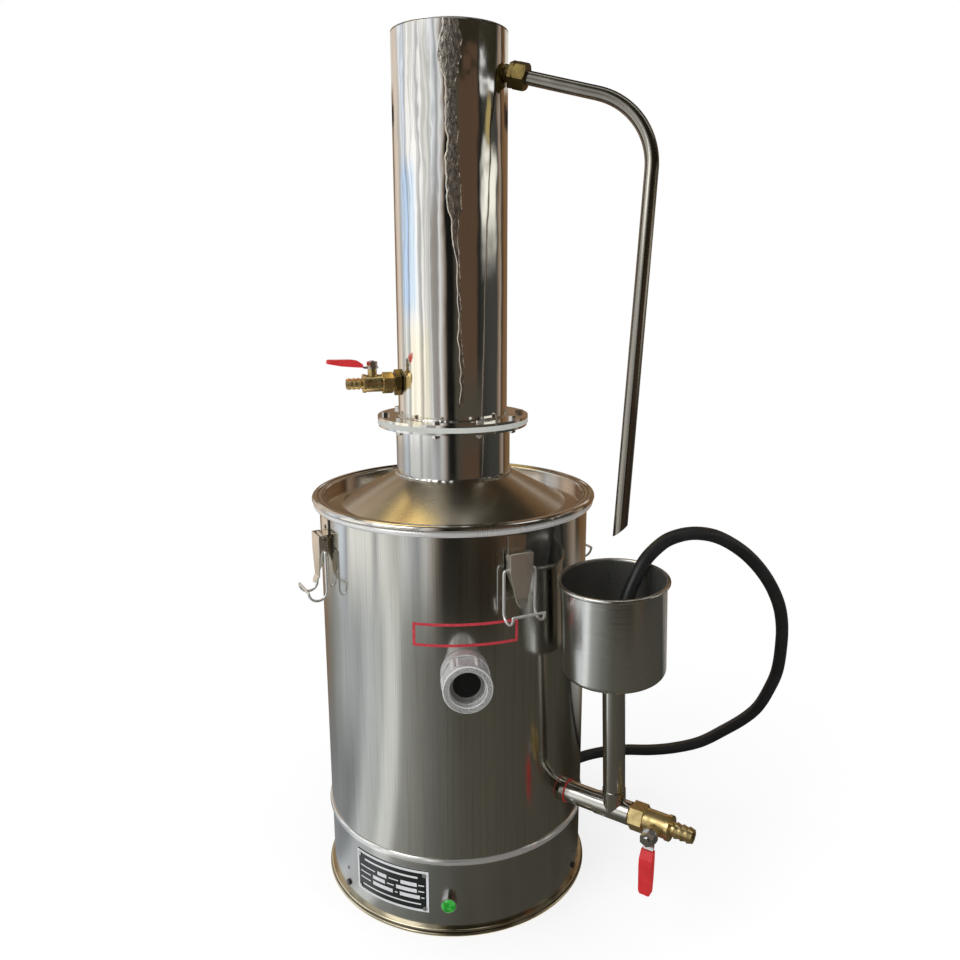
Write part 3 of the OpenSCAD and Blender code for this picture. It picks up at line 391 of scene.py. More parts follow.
def lid_steel(name):
    """Satin cone, polished recess and rim; the recess is darkened brown as painted shade and painted
    reflection, and the dark lines in the rim are painted shade.
    """
    m = steel(name, (0.76, 0.73, 0.68), 0.10, spread=0.03, grain_scale=240, scratch=0.0, stain=0.1)
    rho = m.rho()
    cone = m.times(m.span(rho, NECK_R - 0.001, NECK_R + 0.001),
                   m.fall(rho, CONE_FOOT_R - 0.0002, CONE_FOOT_R + 0.0006))
    # The recess is darkened brown: painted shade and painted reflection
    recess = m.times(m.span(rho, CONE_FOOT_R + 0.0006, CONE_FOOT_R + 0.0010),
                     m.fall(rho, LID_WALL_R - 0.0006, LID_WALL_R - 0.0002))
    # Dark rings at the bead and the land are painted shade in the grooves
    lines = m.plus(m.near(rho, LID_BEAD_R, 0.0003, 0.0009), m.near(rho, LID_LAND_R, 0.0003, 0.0008),
                   clamp=True)
    m.tint((m.times(cone, 0.75), (0.52, 0.47, 0.37)), (m.times(recess, 0.55), (0.44, 0.32, 0.22)),
           (m.times(lines, 0.8), (0.09, 0.075, 0.055)))
    m.roughen(m.times(cone, 0.13))
    rings = m.add("ShaderNodeTexWave", wave_type="RINGS", rings_direction="Z", wave_profile="SIN")
    rings.inputs["Scale"].default_value = 420
    rings.inputs["Distortion"].default_value = 1.2
    m.link(m.at()[0], rings.inputs["Vector"])
    m.bump((m.noise(16, seed=3.1), 0.0003), (m.times(rings.outputs["Fac"], cone), 0.000003))
    return m


def boiler_steel(name):
    """Brushed shell with upright streaks, and a brighter rim and band."""
    m = steel(name, (0.63, 0.62, 0.58), 0.12, spread=0.04, radius=SHELL_R, grain=(1, 1, 0.02),
              grain_scale=800, scratch=0.000004, wobble=0.0006, wobble_scale=8, stain=0.12, aniso=0.5)
    v = m.rolled(SHELL_R)
    z = m.at()[3]
    rho = m.rho()
    lines = m.noise(420, v, (1, 1, 0.012), detail=3.0, rough=0.7, seed=6.0)
    nick = m.noise(420, v, (0.10, 1, 1.3), detail=3.0, rough=0.7, seed=8.0)
    rim = m.times(m.span(z, RIM_FOOT_Z - 0.0005, RIM_FOOT_Z + 0.0005),
                  m.span(rho, SHELL_R + 0.0003, SHELL_R + 0.0013))
    band = m.times(m.near(z, BAND_MID_Z, 0.0033, 0.0036),
                   m.span(rho, SHELL_R + 0.0001, SHELL_R + 0.0004))
    m.tint((m.span(lines, 0.48, 0.68, 0.0, 0.35), (0.36, 0.355, 0.31)),
           (m.span(nick, 0.66, 0.74, 0.0, 0.45), (0.86, 0.86, 0.84)),
           (m.plus(rim, band, clamp=True), (0.88, 0.87, 0.85)))
    m.roughen(m.times(rim, 0.14))
    m.set(Metallic=m.minus(1.0, m.plus(m.times(rim, 0.55), m.times(band, 0.25))))
    return m


def skirt_steel(name):
    """Brushed sheet, duller than the shell above it."""
    return steel(name, (0.57, 0.565, 0.545), 0.18, spread=0.04, radius=SKIRT_R, grain=(1, 1, 0.03),
                 grain_scale=800, scratch=0.000006, wobble=0.0003, wobble_scale=10, aniso=0.5)


def foot_steel(name):
    """Two rolled beads, warm with lacquer, with painted shade where they meet."""
    m = steel(name, (0.74, 0.66, 0.48), 0.17, spread=0.04, radius=SKIRT_R, grain=(0.05, 1, 1),
              scratch=0.000006, wobble=0.0003, wobble_scale=20, stain=0.2)
    # Painted shade in the groove between the two beads
    m.tint((m.near(m.at()[3], FOOT_GROOVE_Z, 0.0002, 0.0008), (0.10, 0.085, 0.06)))
    return m


def about_axis(m, place, axis):
    """Distances along an axis through a place and out from it."""
    arm, along, across, out = (m.add("ShaderNodeVectorMath", operation=operation) for operation in
                               ("SUBTRACT", "DOT_PRODUCT", "CROSS_PRODUCT", "LENGTH"))
    m.link(m.at()[0], arm.inputs[0])
    arm.inputs[1].default_value = place
    for node in (along, across):
        m.link(arm.outputs[0], node.inputs[0])
        node.inputs[1].default_value = axis
    m.link(across.outputs[0], out.inputs[0])
    return along.outputs["Value"], out.outputs["Value"]


def sight_alloy(name):
    """Turned alloy with a thread inside the nut's mouth, painted shade in the thread's grooves and painted
    highlights on its edges.
    """
    m = steel(name, (0.98, 0.985, 0.98), 0.50, spread=0.07, scratch=0.0, stain=0.14)
    thread_pitch, turning_pitch = 0.0016, 0.0006
    along, out = about_axis(m, (0.0, 0.0, SIGHT_Z), around(SIGHT_AZ, 1.0, 0.0))
    inside = m.fall(out, SIGHT_MOUTH_R + 0.0001, SIGHT_MOUTH_R + 0.0006)
    thread = m.calc("SINE", m.times(along, 2 * math.pi / thread_pitch))
    turned = m.calc("SINE", m.times(out, 2 * math.pi / turning_pitch))
    cast = m.noise(1100, detail=3.0, rough=0.7, seed=4.0)
    # Painted shade in the thread's grooves inside the mouth
    painted_thread_shade = m.times(m.fall(thread, -0.6, 0.2), inside)
    # Painted highlights: the edges of the face and the mouth are whitened and made less metallic
    painted_edge_highlight = m.plus(m.near(out, SIGHT_R - 0.00055, 0.0003, 0.0005),
                 m.near(out, SIGHT_MOUTH_R + 0.0003, 0.0002, 0.0004), clamp=True)
    m.tint((m.times(painted_thread_shade, 0.8), (0.20, 0.19, 0.16)),
           (m.span(cast, 0.48, 0.62, 0.0, 0.75), (0.32, 0.32, 0.30)), (painted_edge_highlight, (0.98, 0.98, 0.98)))
    m.set(Metallic=m.minus(0.78, m.times(painted_edge_highlight, 0.45)))
    m.bump((m.times(thread, inside), 0.00040), (turned, 0.00003), (cast, 0.00034))
    return m


def cup_steel(name):
    """Satin cup, brushed round its axis, duller inside, with painted shade on the inside's left."""
    m = steel(name, (0.76, 0.76, 0.74), 0.17, spread=0.04, grain=(1, 1, 0.04), grain_scale=700,
              scratch=0.0, stain=0.10)
    rings = m.noise(420, None, (0.03, 0.03, 1), detail=4.0, rough=0.7, seed=5.0)
    lines = m.noise(900, None, (0.02, 0.02, 1), detail=3.0, rough=0.7, seed=2.0)
    _, x, y, _ = m.at()
    normal = m.add("ShaderNodeSeparateXYZ")
    m.link(m.add("ShaderNodeNewGeometry").outputs["Normal"], normal.inputs[0])
    outward = m.plus(m.times(m.minus(x, CUP_X), normal.outputs[0]),
                     m.times(m.minus(y, CUP_Y), normal.outputs[1]))
    inside = m.fall(outward, -0.02, -0.005)
    # Painted shade on the left of the cup's inside
    dim = m.times(inside, m.span(x, CUP_X - 0.045, CUP_X + 0.035, 0.80, 0.0))
    m.tint((m.span(rings, 0.54, 0.70, 0.0, 0.30), (0.88, 0.88, 0.87)),
           (m.times(inside, 0.6), (0.70, 0.695, 0.65)), (dim, (0.10, 0.095, 0.085)))
    m.roughen(m.times(inside, 0.12))
    m.set(Metallic=m.minus(1.0, m.times(inside, 0.08)))
    m.bump((rings, 0.00010), (lines, 0.00004))
    return m


def pipe_steel(name):
    """Polished pipe and fittings of the feed."""
    return steel(name, (0.72, 0.70, 0.66), 0.13, spread=0.04, grain=(1, 1, 0.3), grain_scale=400,
                 scratch=0.000005, wobble=0.0002, wobble_scale=26, stain=0.14)


def latch_steel(name, metallic):
    """Warm pressed sheet of the latches."""
    m = steel(name, (0.86, 0.82, 0.73), 0.17, grain=(1, 1, 0.3), scratch=0.000008, wobble=0.0003,
              wobble_scale=40)
    m.set(Metallic=metallic)
    return m


def wire_steel(name):
    """Pale drawn wire of the bails."""
    m = steel(name, (0.88, 0.87, 0.85), 0.20, spread=0.04, scratch=0.000005)
    m.set(Metallic=0.75)
    return m


def tube_steel(name):
    """Dark drawn tube of the return."""
    return steel(name, (0.34, 0.32, 0.28), 0.20, grain=(1, 1, 0.2), scratch=0.000006, wobble=0.0003,
                 wobble_scale=30, stain=0.2)


def weld_steel(name):
    """Lumpy, stained weld metal."""
    return steel(name, (0.70, 0.69, 0.66), 0.20, spread=0.08, grain_scale=400, scratch=0.00002,
                 wobble=0.0003, wobble_scale=120, stain=0.25)


def lens_green(name):
    """Moulded green lens."""
    m = Mat(name)
    blot = m.noise(230, seed=2.0)
    m.set(Base_Color=m.mix(m.span(blot, 0.35, 0.65), (0.015, 0.46, 0.030), (0.12, 0.86, 0.14)))
    m.set(Roughness=m.span(blot, 0.2, 0.8, 0.08, 0.2), Transmission_Weight=0.25, IOR=1.49)
    m.set(Coat_Weight=0.6, Coat_Roughness=0.06)
    m.bump((blot, 0.00008))
    return m


def glass_dark(name):
    """Glass painted near-black as painted shade for the dark inside of the boiler behind it."""
    m = Mat(name)
    blot = m.noise(120, detail=3.0, rough=0.6, seed=1.0)
    m.set(Base_Color=m.mix(blot, (0.004, 0.005, 0.005), (0.012, 0.014, 0.013)))
    m.set(Roughness=m.span(blot, 0.3, 0.7, 0.03, 0.10), IOR=1.4, Coat_Weight=0.1, Coat_Roughness=0.03)
    return m


def brass(name, tint, rough, patina):
    """Cast brass with patches of patina."""
    m = Mat(name)
    blot = m.noise(70, detail=5.0, rough=0.65, seed=1.9)
    cast = m.noise(700, detail=3.0, rough=0.6, seed=6.2)
    dull = m.span(blot, 0.35, 0.72)
    m.set(Base_Color=m.mix(dull, tint, patina), Metallic=m.span(dull, 0.0, 1.0, 1.0, 0.8))
    m.set(Roughness=m.span(blot, 0.3, 0.75, rough, rough + 0.16))
    m.bump((blot, 0.00012), (cast, 0.00005))
    return m


MAT = {
    "boiler": boiler_steel("boiler_brushed"),
    "inside": steel("boiler_inside", (0.52, 0.51, 0.49), 0.34, grain_scale=300, wobble=0.0002),
    "skirt": skirt_steel("skirt_brushed"),
    "foot": foot_steel("foot_lacquered"),
    "cover": steel("cover_zinc", (0.42, 0.42, 0.42), 0.42, spread=0.08, grain_scale=200, wobble=0.0002),
    "screw": steel("screw_black", (0.12, 0.115, 0.11), 0.34, spread=0.06),
    "sheath": steel("element_sheath", (0.40, 0.37, 0.34), 0.36, spread=0.06, grain=(1, 1, 0.2),
                    grain_scale=400),
    "ceramic": plain("block_ceramic", (0.80, 0.77, 0.70), 0.45, vary=0.06),
    "leads": plain("lead_insulation", (0.05, 0.045, 0.04), 0.5, vary=0.2),
    "chrome": steel("chrome", (0.84, 0.84, 0.85), 0.07, spread=0.03, scratch=0.000002),
    "lens": lens_green("lens_green"),
    "plate": plain("plate_enamel", (0.010, 0.011, 0.013), 0.34, vary=0.3, blot_scale=90, skin_scale=1200,
                   skin=0.00001, Coat_Weight=0.1, Coat_Roughness=0.15),
    "plate_white": plain("plate_white", (0.92, 0.94, 0.95), 0.35, vary=0.04, blot_scale=200, skin=0.00001),
    "print_red": plain("print_red", (0.66, 0.040, 0.060), 0.5, vary=0.14, blot_scale=300, skin=0.00001),
    "rivet": steel("rivet_bright", (0.74, 0.74, 0.73), 0.22, grain_scale=600),
    "alloy": eased(sight_alloy("sight_alloy"), 0.0010),
    "glass": glass_dark("sight_glass_dark"),
    "rubber": plain("black_rubber", (0.016, 0.016, 0.017), 0.42, vary=0.2, blot_scale=40, skin_scale=1400,
                    skin=0.00004),
    "core_brown": plain("core_brown", (0.16, 0.06, 0.03), 0.4),
    "core_blue": plain("core_blue", (0.02, 0.10, 0.42), 0.4),
    "core_green": plain("core_green", (0.10, 0.34, 0.05), 0.4),
    "nylon": plain("black_nylon", (0.02, 0.02, 0.021), 0.42, vary=0.15, blot_scale=80),
    "red_seal": plain("red_seal", (0.52, 0.03, 0.025), 0.45, vary=0.15, blot_scale=200),
    "pipe": pipe_steel("pipe_polished"),
    "cup": cup_steel("cup_satin"),
    "brass": eased(brass("brass_cast", (0.90, 0.70, 0.34), 0.22, (0.50, 0.38, 0.16)), 0.0006),
    "brass_dark": eased(brass("brass_dark", (0.24, 0.175, 0.060), 0.30, (0.11, 0.080, 0.030)), 0.0006),
    "lever": steel("lever_zinc", (0.66, 0.66, 0.66), 0.28, grain_scale=400),
    "vinyl": plain("red_vinyl", (0.86, 0.030, 0.036), 0.36, vary=0.08, blot_scale=90, skin_scale=700,
                   skin=0.00004, Coat_Weight=0.2, Coat_Roughness=0.2),
    "latch": eased(latch_steel("latch_steel", 1.0), 0.0005),
    "latch_lever": eased(latch_steel("latch_lever_steel", 0.90), 0.0009),
    "wire": wire_steel("bail_wire"),
    "lid": lid_steel("lid_spun"),
    "seal": plain("lid_seal_silicone", (0.78, 0.76, 0.70), 0.5, vary=0.06, blot_scale=80, skin_scale=700),
    "neck": neck_steel("neck_polished"),
    "gasket": plain("gasket_silicone", (0.80, 0.79, 0.72), 0.45, vary=0.05, skin_scale=500, skin=0.00005,
                    Subsurface_Weight=0.1),
    "bolt": steel("bolt_bright", (0.80, 0.79, 0.77), 0.16, grain_scale=600, scratch=0.000008),
    "condenser": condenser_steel("condenser_polished"),
    "tube": tube_steel("return_tube_steel"),
    "weld": weld_steel("weld_bead"),
}

# The nodes of the solids that wear each material
WEARS = {
    "boiler": ["boiler_shell"],
    "inside": ["boiler_floor", "inner_chamber", "steam_riser"],
    "skirt": ["skirt"],
    "foot": ["foot_ring"],
    "cover": ["base_cover"],
    "screw": ["base_screws"],
    "sheath": ["heating_elements"],
    "ceramic": ["terminal_block"],
    "leads": ["heater_leads"],
    "chrome": ["indicator_bezel", "drain_ball", "inlet_ball"],
    "lens": ["indicator_lens"],
    "plate": ["nameplate"],
    "rivet": ["rivets", "inlet_nut", "drain_nut"],
    "alloy": ["sight_body", "sight_ring"],
    "rubber": ["sight_gasket", "power_cord"],
    "nylon": ["cord_gland"],
    "glass": ["sight_glass"],
    "red_seal": ["feed_seal"],
    "pipe": ["feed_pipe", "feed_tee", "stand_pipe"],
    "cup": ["feed_cup"],
    "brass": ["inlet_valve_body", "inlet_hose_tail", "drain_valve_body", "drain_hose_tail"],
    "brass_dark": ["return_adaptor", "return_nut", "element_nuts", "inlet_bush"],
    "lever": ["inlet_handle", "drain_handle"],
    "vinyl": ["inlet_grip", "drain_grip"],
    "latch": ["latch_bases", "latch_pins"],
    "latch_lever": [f"latch_lever_{i}" for i in range(1, 5)],
    "wire": [f"latch_bail_{i}" for i in range(1, 5)],
    "lid": ["lid"],
    "seal": ["lid_seal"],
    "neck": ["neck"],
    "gasket": ["flange_gasket"],
    "bolt": ["flange_bolts", "flange_nuts"],
    "condenser": ["condenser_shell"],
    "tube": ["return_tube"],
}


def smooth(mesh, angle=24):
    """Smooth shading, with edges past the angle in degrees kept sharp."""
    mesh.polygons.foreach_set("use_smooth", [True] * len(mesh.polygons))
    mesh.set_sharp_from_angle(angle=math.radians(angle))


def dress(obj, key):
    obj.data.materials.clear()
    obj.data.materials.append(MAT[key].material)


for key, names in WEARS.items():
    for name in names:
        dress(nodes[name], key)
        smooth(nodes[name].data)


# Pieces

def piece(name, verts, faces, key, body):
    """A mesh that rides on a body."""
    mesh = bpy.data.meshes.new(name)
    mesh.from_pydata(verts, [], faces)
    mesh.validate()
    bm = bmesh.new()
    bm.from_mesh(mesh)
    bmesh.ops.recalc_face_normals(bm, faces=bm.faces)
    bm.to_mesh(mesh)
    bm.free()
    obj = bpy.data.objects.new(name, mesh)
    scene.collection.objects.link(obj)
    dress(obj, key)
    smooth(mesh)
    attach(obj, body)
    return obj


# Mains lead, with its route in millimetres

LEAD = [
    (139.26, 97.51, 50), (150.72, 105.54, 50), (166, 113, 50), (186, 116, 52), (208, 112, 56),
    (234, 101, 62), (261, 92, 70), (289, 81, 84), (313, 69, 106), (331, 58, 126), (343, 48, 146),
    (350, 37, 172), (353, 22, 204), (349, 5, 245), (343, -7, 274), (333, -19, 300), (317, -31, 327),
    (297, -43, 351), (276, -53, 369), (252, -64, 383), (227, -75, 389), (205, -85, 387), (191, -92, 380),
    (179, -98, 369), (170, -104, 354), (163, -109, 339), (158, -113, 322), (155, -116, 304),
    (154, -118, 290),
]


def curve_through(points, steps):
    """Points in metres of a smooth line through the given ones."""
    p = [Vector(q) * 0.001 for q in points]
    p = [2 * p[0] - p[1]] + p + [2 * p[-1] - p[-2]]
    line = []
    for i in range(1, len(p) - 2):
        a, b, c, d = p[i - 1:i + 3]
        for k in range(steps):
            t = k / steps
            line.append(0.5 * (2 * b + (c - a) * t + (2 * a - 5 * b + 4 * c - d) * t ** 2
                               + (3 * b - a - 3 * c + d) * t ** 3))
    return line + [p[-2]]


def tube_curve(name, line, radius, key):
    """A round, capped tube along a line."""
    data = bpy.data.curves.new(name, "CURVE")
    data.dimensions = "3D"
    data.bevel_depth = radius
    data.bevel_resolution = 6
    data.use_fill_caps = True
    spline = data.splines.new("POLY")
    spline.points.add(len(line) - 1)
    for point, place in zip(spline.points, line):
        point.co = (*place, 1.0)
    spline.use_smooth = True
    obj = bpy.data.objects.new(name, data)
    scene.collection.objects.link(obj)
    dress(obj, key)
    return obj


def mains_lead():
    """The lead, with three cores that spread from its free end."""
    line = curve_through(LEAD, 5)
    lead = tube_curve("mains_lead", line, LEAD_R, "rubber")
    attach(lead, "root")
    end = line[-1]
    ahead = (line[-1] - line[-2]).normalized()
    side = (Vector((1, 0, 0)) - ahead * ahead.x).normalized()
    up = ahead.cross(side)
    for k, key in enumerate(("core_brown", "core_blue", "core_green")):
        a = math.radians(120 * k)
        off = CORE_RING_R * (math.cos(a) * side + math.sin(a) * up)
        root = end + off - 0.002 * ahead
        route = [root, root + 0.004 * ahead, root + 0.007 * ahead + 0.1 * off,
                 root + 0.014 * ahead + 0.6 * off]
        core = tube_curve(f"lead_core_{k + 1}", route, CORE_R, key)
        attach(core, "root")
    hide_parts("power_cord")


mains_lead()


# Printed frame on the boiler, nameplate's border and fields

def strip(az0, az1, z0, z1, r0, r1):
    """Curved strip on a cylinder about Z."""
    step = 1.5
    steps = max(1, round((az1 - az0) / step))
    verts, faces = [], []
    for i in range(steps + 1):
        az = az0 + (az1 - az0) * i / steps
        for r, z in ((r0, z0), (r1, z0), (r1, z1), (r0, z1)):
            verts.append(around(az, r, z))
    for i in range(steps):
        for k in range(4):
            a, b = 4 * i + k, 4 * i + (k + 1) % 4
            faces.append((a, b, b + 4, a + 4))
    faces.append((0, 1, 2, 3))
    faces.append(tuple(4 * steps + k for k in range(4)))
    return verts, faces


def strips(name, boxes, face_r, key, body):
    """One print of several strips, each (az0, az1, z0, z1), on a face of the given radius."""
    verts, faces = [], []
    for box in boxes:
        v, f = strip(*box, face_r - PRINT_ROOT, face_r + PRINT_LIFT)
        n = len(verts)
        verts += v
        faces += [tuple(i + n for i in q) for q in f]
    return piece(name, verts, faces, key, body)


def border(x0, x1, y0, y1, wide, high):
    """Four bars just inside a rectangle, wide at the sides and high at top and bottom."""
    return [
        (x0, x1, y1 - high, y1), (x0, x1, y0, y0 + high),
        (x0, x0 + wide, y0 + high, y1 - high), (x1 - wide, x1, y0 + high, y1 - high),
    ]


def printed_frame():
    """Plain red frame on the boiler's front."""
    bar = 0.0026
    boxes = border(-14.6, 26.9, 0.3005, 0.323, math.degrees(bar / SHELL_R), bar)
    strips("label_frame", boxes, SHELL_R, "print_red", "root")


def nameplate_print():
    """White border, blank fields and rules, in millimetres from the plate's middle."""
    face_r = SKIRT_R + PLATE_GAP + PLATE_T
    mm = 0.001
    mm_az = math.degrees(mm / SKIRT_R)
    half_w, half_h, bar = 42.0, 22.25, 2.4
    field, rule = 2.0, 0.6

    def show(name, boxes):
        placed = [(PLATE_AZ + x0 * mm_az, PLATE_AZ + x1 * mm_az, PLATE_Z + y0 * mm, PLATE_Z + y1 * mm)
                  for x0, x1, y0, y1 in boxes]
        strips(name, placed, face_r, "plate_white", "root")

    rows = [(6.2, -14, -3, 13, 30), (-0.4, -20, -5, 8, 30), (-7.0, -20, 4, 12, 33)]
    fields, rules = [], []
    for y, b0, b1, c0, c1 in rows:
        fields += [(x0, x1, y - field, y + field) for x0, x1 in ((b0, b1), (c0, c1))]
        rules += [(x0, x1, y - rule, y + rule)
                  for x0, x1 in ((-37, b0 - 3), (b1 + 2.5, c0 - 2.5), (c1 + 1.5, 37.5))]
    rules += [(-31, 31, 13.4, 15.4), (-34, 34, -15.0, -13.6)]
    show("nameplate_border", border(-half_w, half_w, -half_h, half_h, bar, bar))
    show("nameplate_fields", fields)
    show("nameplate_rules", rules)


printed_frame()
nameplate_print()


# Weld beads

def bead(name, rho, z, size, lumps, rough, key, body, seed):
    """Uneven weld bead round Z."""
    rings, sides = 240, 8
    verts, faces = [], []
    for i in range(rings):
        az = 360 * i / rings
        a = math.radians(az)
        wave = math.sin(lumps * a) * 0.18
        grow = 1 + wave + rough * noise.noise(Vector((math.cos(a) * 4, math.sin(a) * 4, seed)))
        lift = 0.35 * size * noise.noise(Vector((math.cos(a) * 6, math.sin(a) * 6, seed + 5)))
        for k in range(sides):
            b = 2 * math.pi * k / sides
            s = size * grow
            verts.append(around(az, rho + s * math.cos(b), z + lift + 0.8 * s * math.sin(b)))
    for i in range(rings):
        for k in range(sides):
            a, b = i * sides + k, i * sides + (k + 1) % sides
            c, d = (i + 1) % rings * sides + k, (i + 1) % rings * sides + (k + 1) % sides
            faces.append((a, b, d, c))
    return piece(name, verts, faces, key, body)


bead("neck_weld", NECK_R + 0.0004, CONE_TOP + 0.0004, size=0.0018, lumps=46, rough=0.5, key="weld",
     body="lid", seed=1.0)
bead("condenser_weld", COND_R + 0.0003, FLANGE_TOP + 0.0002, size=0.0013, lumps=60, rough=0.5, key="weld",
     body="lid", seed=9.0)


# Stage

FLOOR_HALF = 60.0
ROOM_R = 2.6
ROOM_TOP = 2.6
ROOM_SIDES = 96
GROUND_HOLE_R = 0.141
GROUND_Z = 0.001


def stage_mesh(name, verts, faces, material):
    mesh = bpy.data.meshes.new(name)
    mesh.from_pydata(verts, [], faces)
    obj = bpy.data.objects.new(name, mesh)
    scene.collection.objects.link(obj)
    mesh.materials.append(material)
    return obj


def shown(tree):
    """1 for rays that see the background: straight from the camera, in metal or through glass."""
    rays = tree.nodes.new("ShaderNodeLightPath").outputs
    total = rays["Is Camera Ray"]
    for kind in ("Is Glossy Ray", "Is Transmission Ray"):
        add = tree.nodes.new("ShaderNodeMath")
        add.operation = "ADD"
        add.use_clamp = True
        tree.links.new(total, add.inputs[0])
        tree.links.new(rays[kind], add.inputs[1])
        total = add.outputs[0]
    return total


def floor():
    """Pale floor that fades to white away from the part, and plain grey for the light it gives back."""
    m = Mat("floor_pale")
    m.tree.nodes.remove(m.shader)
    grey = m.add("ShaderNodeBsdfDiffuse")
    grey.inputs["Color"].default_value = (0.84, 0.84, 0.84, 1)
    soft = m.add("ShaderNodeBsdfDiffuse")
    soft.inputs["Color"].default_value = (0.50, 0.50, 0.50, 1)
    lift = m.add("ShaderNodeEmission")
    lift.inputs["Strength"].default_value = 0.66
    under = m.add("ShaderNodeAddShader")
    m.link(soft.outputs[0], under.inputs[0])
    m.link(lift.outputs[0], under.inputs[1])
    white = m.add("ShaderNodeEmission")
    fade = m.add("ShaderNodeMixShader")
    m.link(m.span(m.rho(), 0.45, 1.15), fade.inputs[0])
    m.link(under.outputs[0], fade.inputs[1])
    m.link(white.outputs[0], fade.inputs[2])
    pick = m.add("ShaderNodeMixShader")
    m.link(shown(m.tree), pick.inputs[0])
    m.link(grey.outputs[0], pick.inputs[1])
    m.link(fade.outputs[0], pick.inputs[2])
    m.link(pick.outputs[0], m.out.inputs[0])
    r = FLOOR_HALF
    return stage_mesh("floor", [(-r, -r, 0), (r, -r, 0), (r, r, 0), (-r, r, 0)], [(0, 1, 2, 3)], m.material)


def round_ramp(m, stops):
    """Colours by azimuth in degrees."""
    node = m.add("ShaderNodeValToRGB")
    node.color_ramp.interpolation = "LINEAR"
    marks = node.color_ramp.elements
    while len(marks) > 1:
        marks.remove(marks[0])
    for i, (az, colour) in enumerate(stops):
        place = (az + 180) / 360
        mark = marks.new(place) if i else marks[0]
        mark.position = place
        mark.color = (*colour, 1)
    m.link(m.plus(m.calc("DIVIDE", m.azimuth(), 2 * math.pi), 0.5), node.inputs[0])
    return node.outputs[0]


# Surroundings that the metal shows, by azimuth: windows on the left, a dark doorway in front, brown
# furniture, a grey wall on the right and a warm wall behind
WARM = (0.25, 0.165, 0.10)
BROWN = (0.105, 0.064, 0.040)
OLIVE = (0.075, 0.068, 0.052)
BLACK = (0.008, 0.008, 0.007)
GLARE = (1.25, 1.25, 1.22)
WALL = [
    (-180, WARM), (-152, WARM), (-142, (0.70, 0.58, 0.48)), (-128, (0.85, 0.72, 0.60)),
    (-116, (0.60, 0.57, 0.54)), (-110, (0.95, 1.0, 1.05)), (-100, (0.95, 1.05, 1.2)),
    (-96, (0.34, 0.36, 0.42)), (-92, GLARE), (-68, GLARE), (-64, (0.42, 0.42, 0.46)), (-59, GLARE),
    (-44, (0.70, 0.70, 0.66)), (-38, (1.0, 1.02, 1.05)), (-27, (0.40, 0.43, 0.46)),
    (-21, (0.90, 0.90, 0.90)), (-12, (0.30, 0.24, 0.19)), (-7, BLACK), (4, BLACK), (12, OLIVE),
    (22, BROWN), (52, BROWN), (58, (0.020, 0.020, 0.018)), (78, (0.05, 0.05, 0.045)),
    (106, (0.06, 0.058, 0.05)), (112, (0.26, 0.19, 0.14)), (119, (0.42, 0.34, 0.27)),
    (124, (0.05, 0.035, 0.022)), (134, (0.20, 0.11, 0.05)), (180, WARM),
]
GROUND = [
    (-180, (0.22, 0.15, 0.10)), (-138, (0.24, 0.17, 0.12)), (-122, (0.26, 0.26, 0.24)),
    (-100, (0.52, 0.55, 0.57)), (-80, (0.50, 0.53, 0.56)), (-70, (0.72, 0.75, 0.78)),
    (-58, (0.66, 0.69, 0.69)), (-52, (0.95, 0.98, 0.98)), (-45, (0.90, 0.92, 0.90)),
    (-39, (0.40, 0.41, 0.39)), (-26, (0.28, 0.285, 0.265)), (-12, (0.17, 0.17, 0.155)),
    (6, (0.105, 0.100, 0.080)), (45, (0.085, 0.078, 0.062)), (96, (0.070, 0.064, 0.050)),
    (108, (0.03, 0.03, 0.025)), (116, (0.32, 0.32, 0.30)), (128, (0.40, 0.39, 0.37)),
    (138, (0.24, 0.18, 0.12)), (180, (0.22, 0.15, 0.10)),
]


def wall_paint(m):
    """The ramp by azimuth, streaked on the left, with lights on the right and bands behind."""
    az, h = m.azimuth(), m.at()[3]
    streak = m.noise(13, m.rolled(1.0), (1, 1, 0.05), detail=3.0, rough=0.6, seed=2.0)
    streaks = m.times(m.facing(-72, 48, 60), m.span(streak, 0.48, 0.62, 0.0, 0.5))
    low = m.times(m.facing(38, 26, 34), m.fall(h, 0.15, 0.4))
    panel = m.times(m.facing(-31, 6, 10), m.fall(h, 0.75, 1.05))
    lit = m.times(m.facing(84, 14, 24), m.near(h, 0.88, 0.05, 0.30), m.fall(h, 0.95, 1.06))
    gold = m.times(m.facing(78, 3, 9), m.near(h, 1.14, 0.06, 0.20))
    high = m.times(m.span(h, 1.36, 1.38), m.facing(45, 52, 60))
    tube = m.times(m.facing(78, 14, 20), m.near(h, 1.335, 0.012, 0.026))
    back = m.span(m.calc("ABSOLUTE", az), math.radians(135), math.radians(150))
    return m.layered(
        round_ramp(m, WALL),
        (streaks, (0.32, 0.32, 0.31)),
        (low, OLIVE),
        (m.times(panel, 0.85), (0.30, 0.27, 0.24)),
        (m.times(lit, 0.9), (1.25, 1.22, 1.08)),
        (m.times(gold, 0.8), (0.55, 0.42, 0.16)),
        (high, (0.03, 0.026, 0.016)),
        (tube, GLARE),
        (m.times(back, m.near(h, 1.20, 0.02, 0.05)), (0.03, 0.022, 0.016)),
        (m.times(back, m.near(h, 1.42, 0.10, 0.16)), (0.75, 0.70, 0.62)))


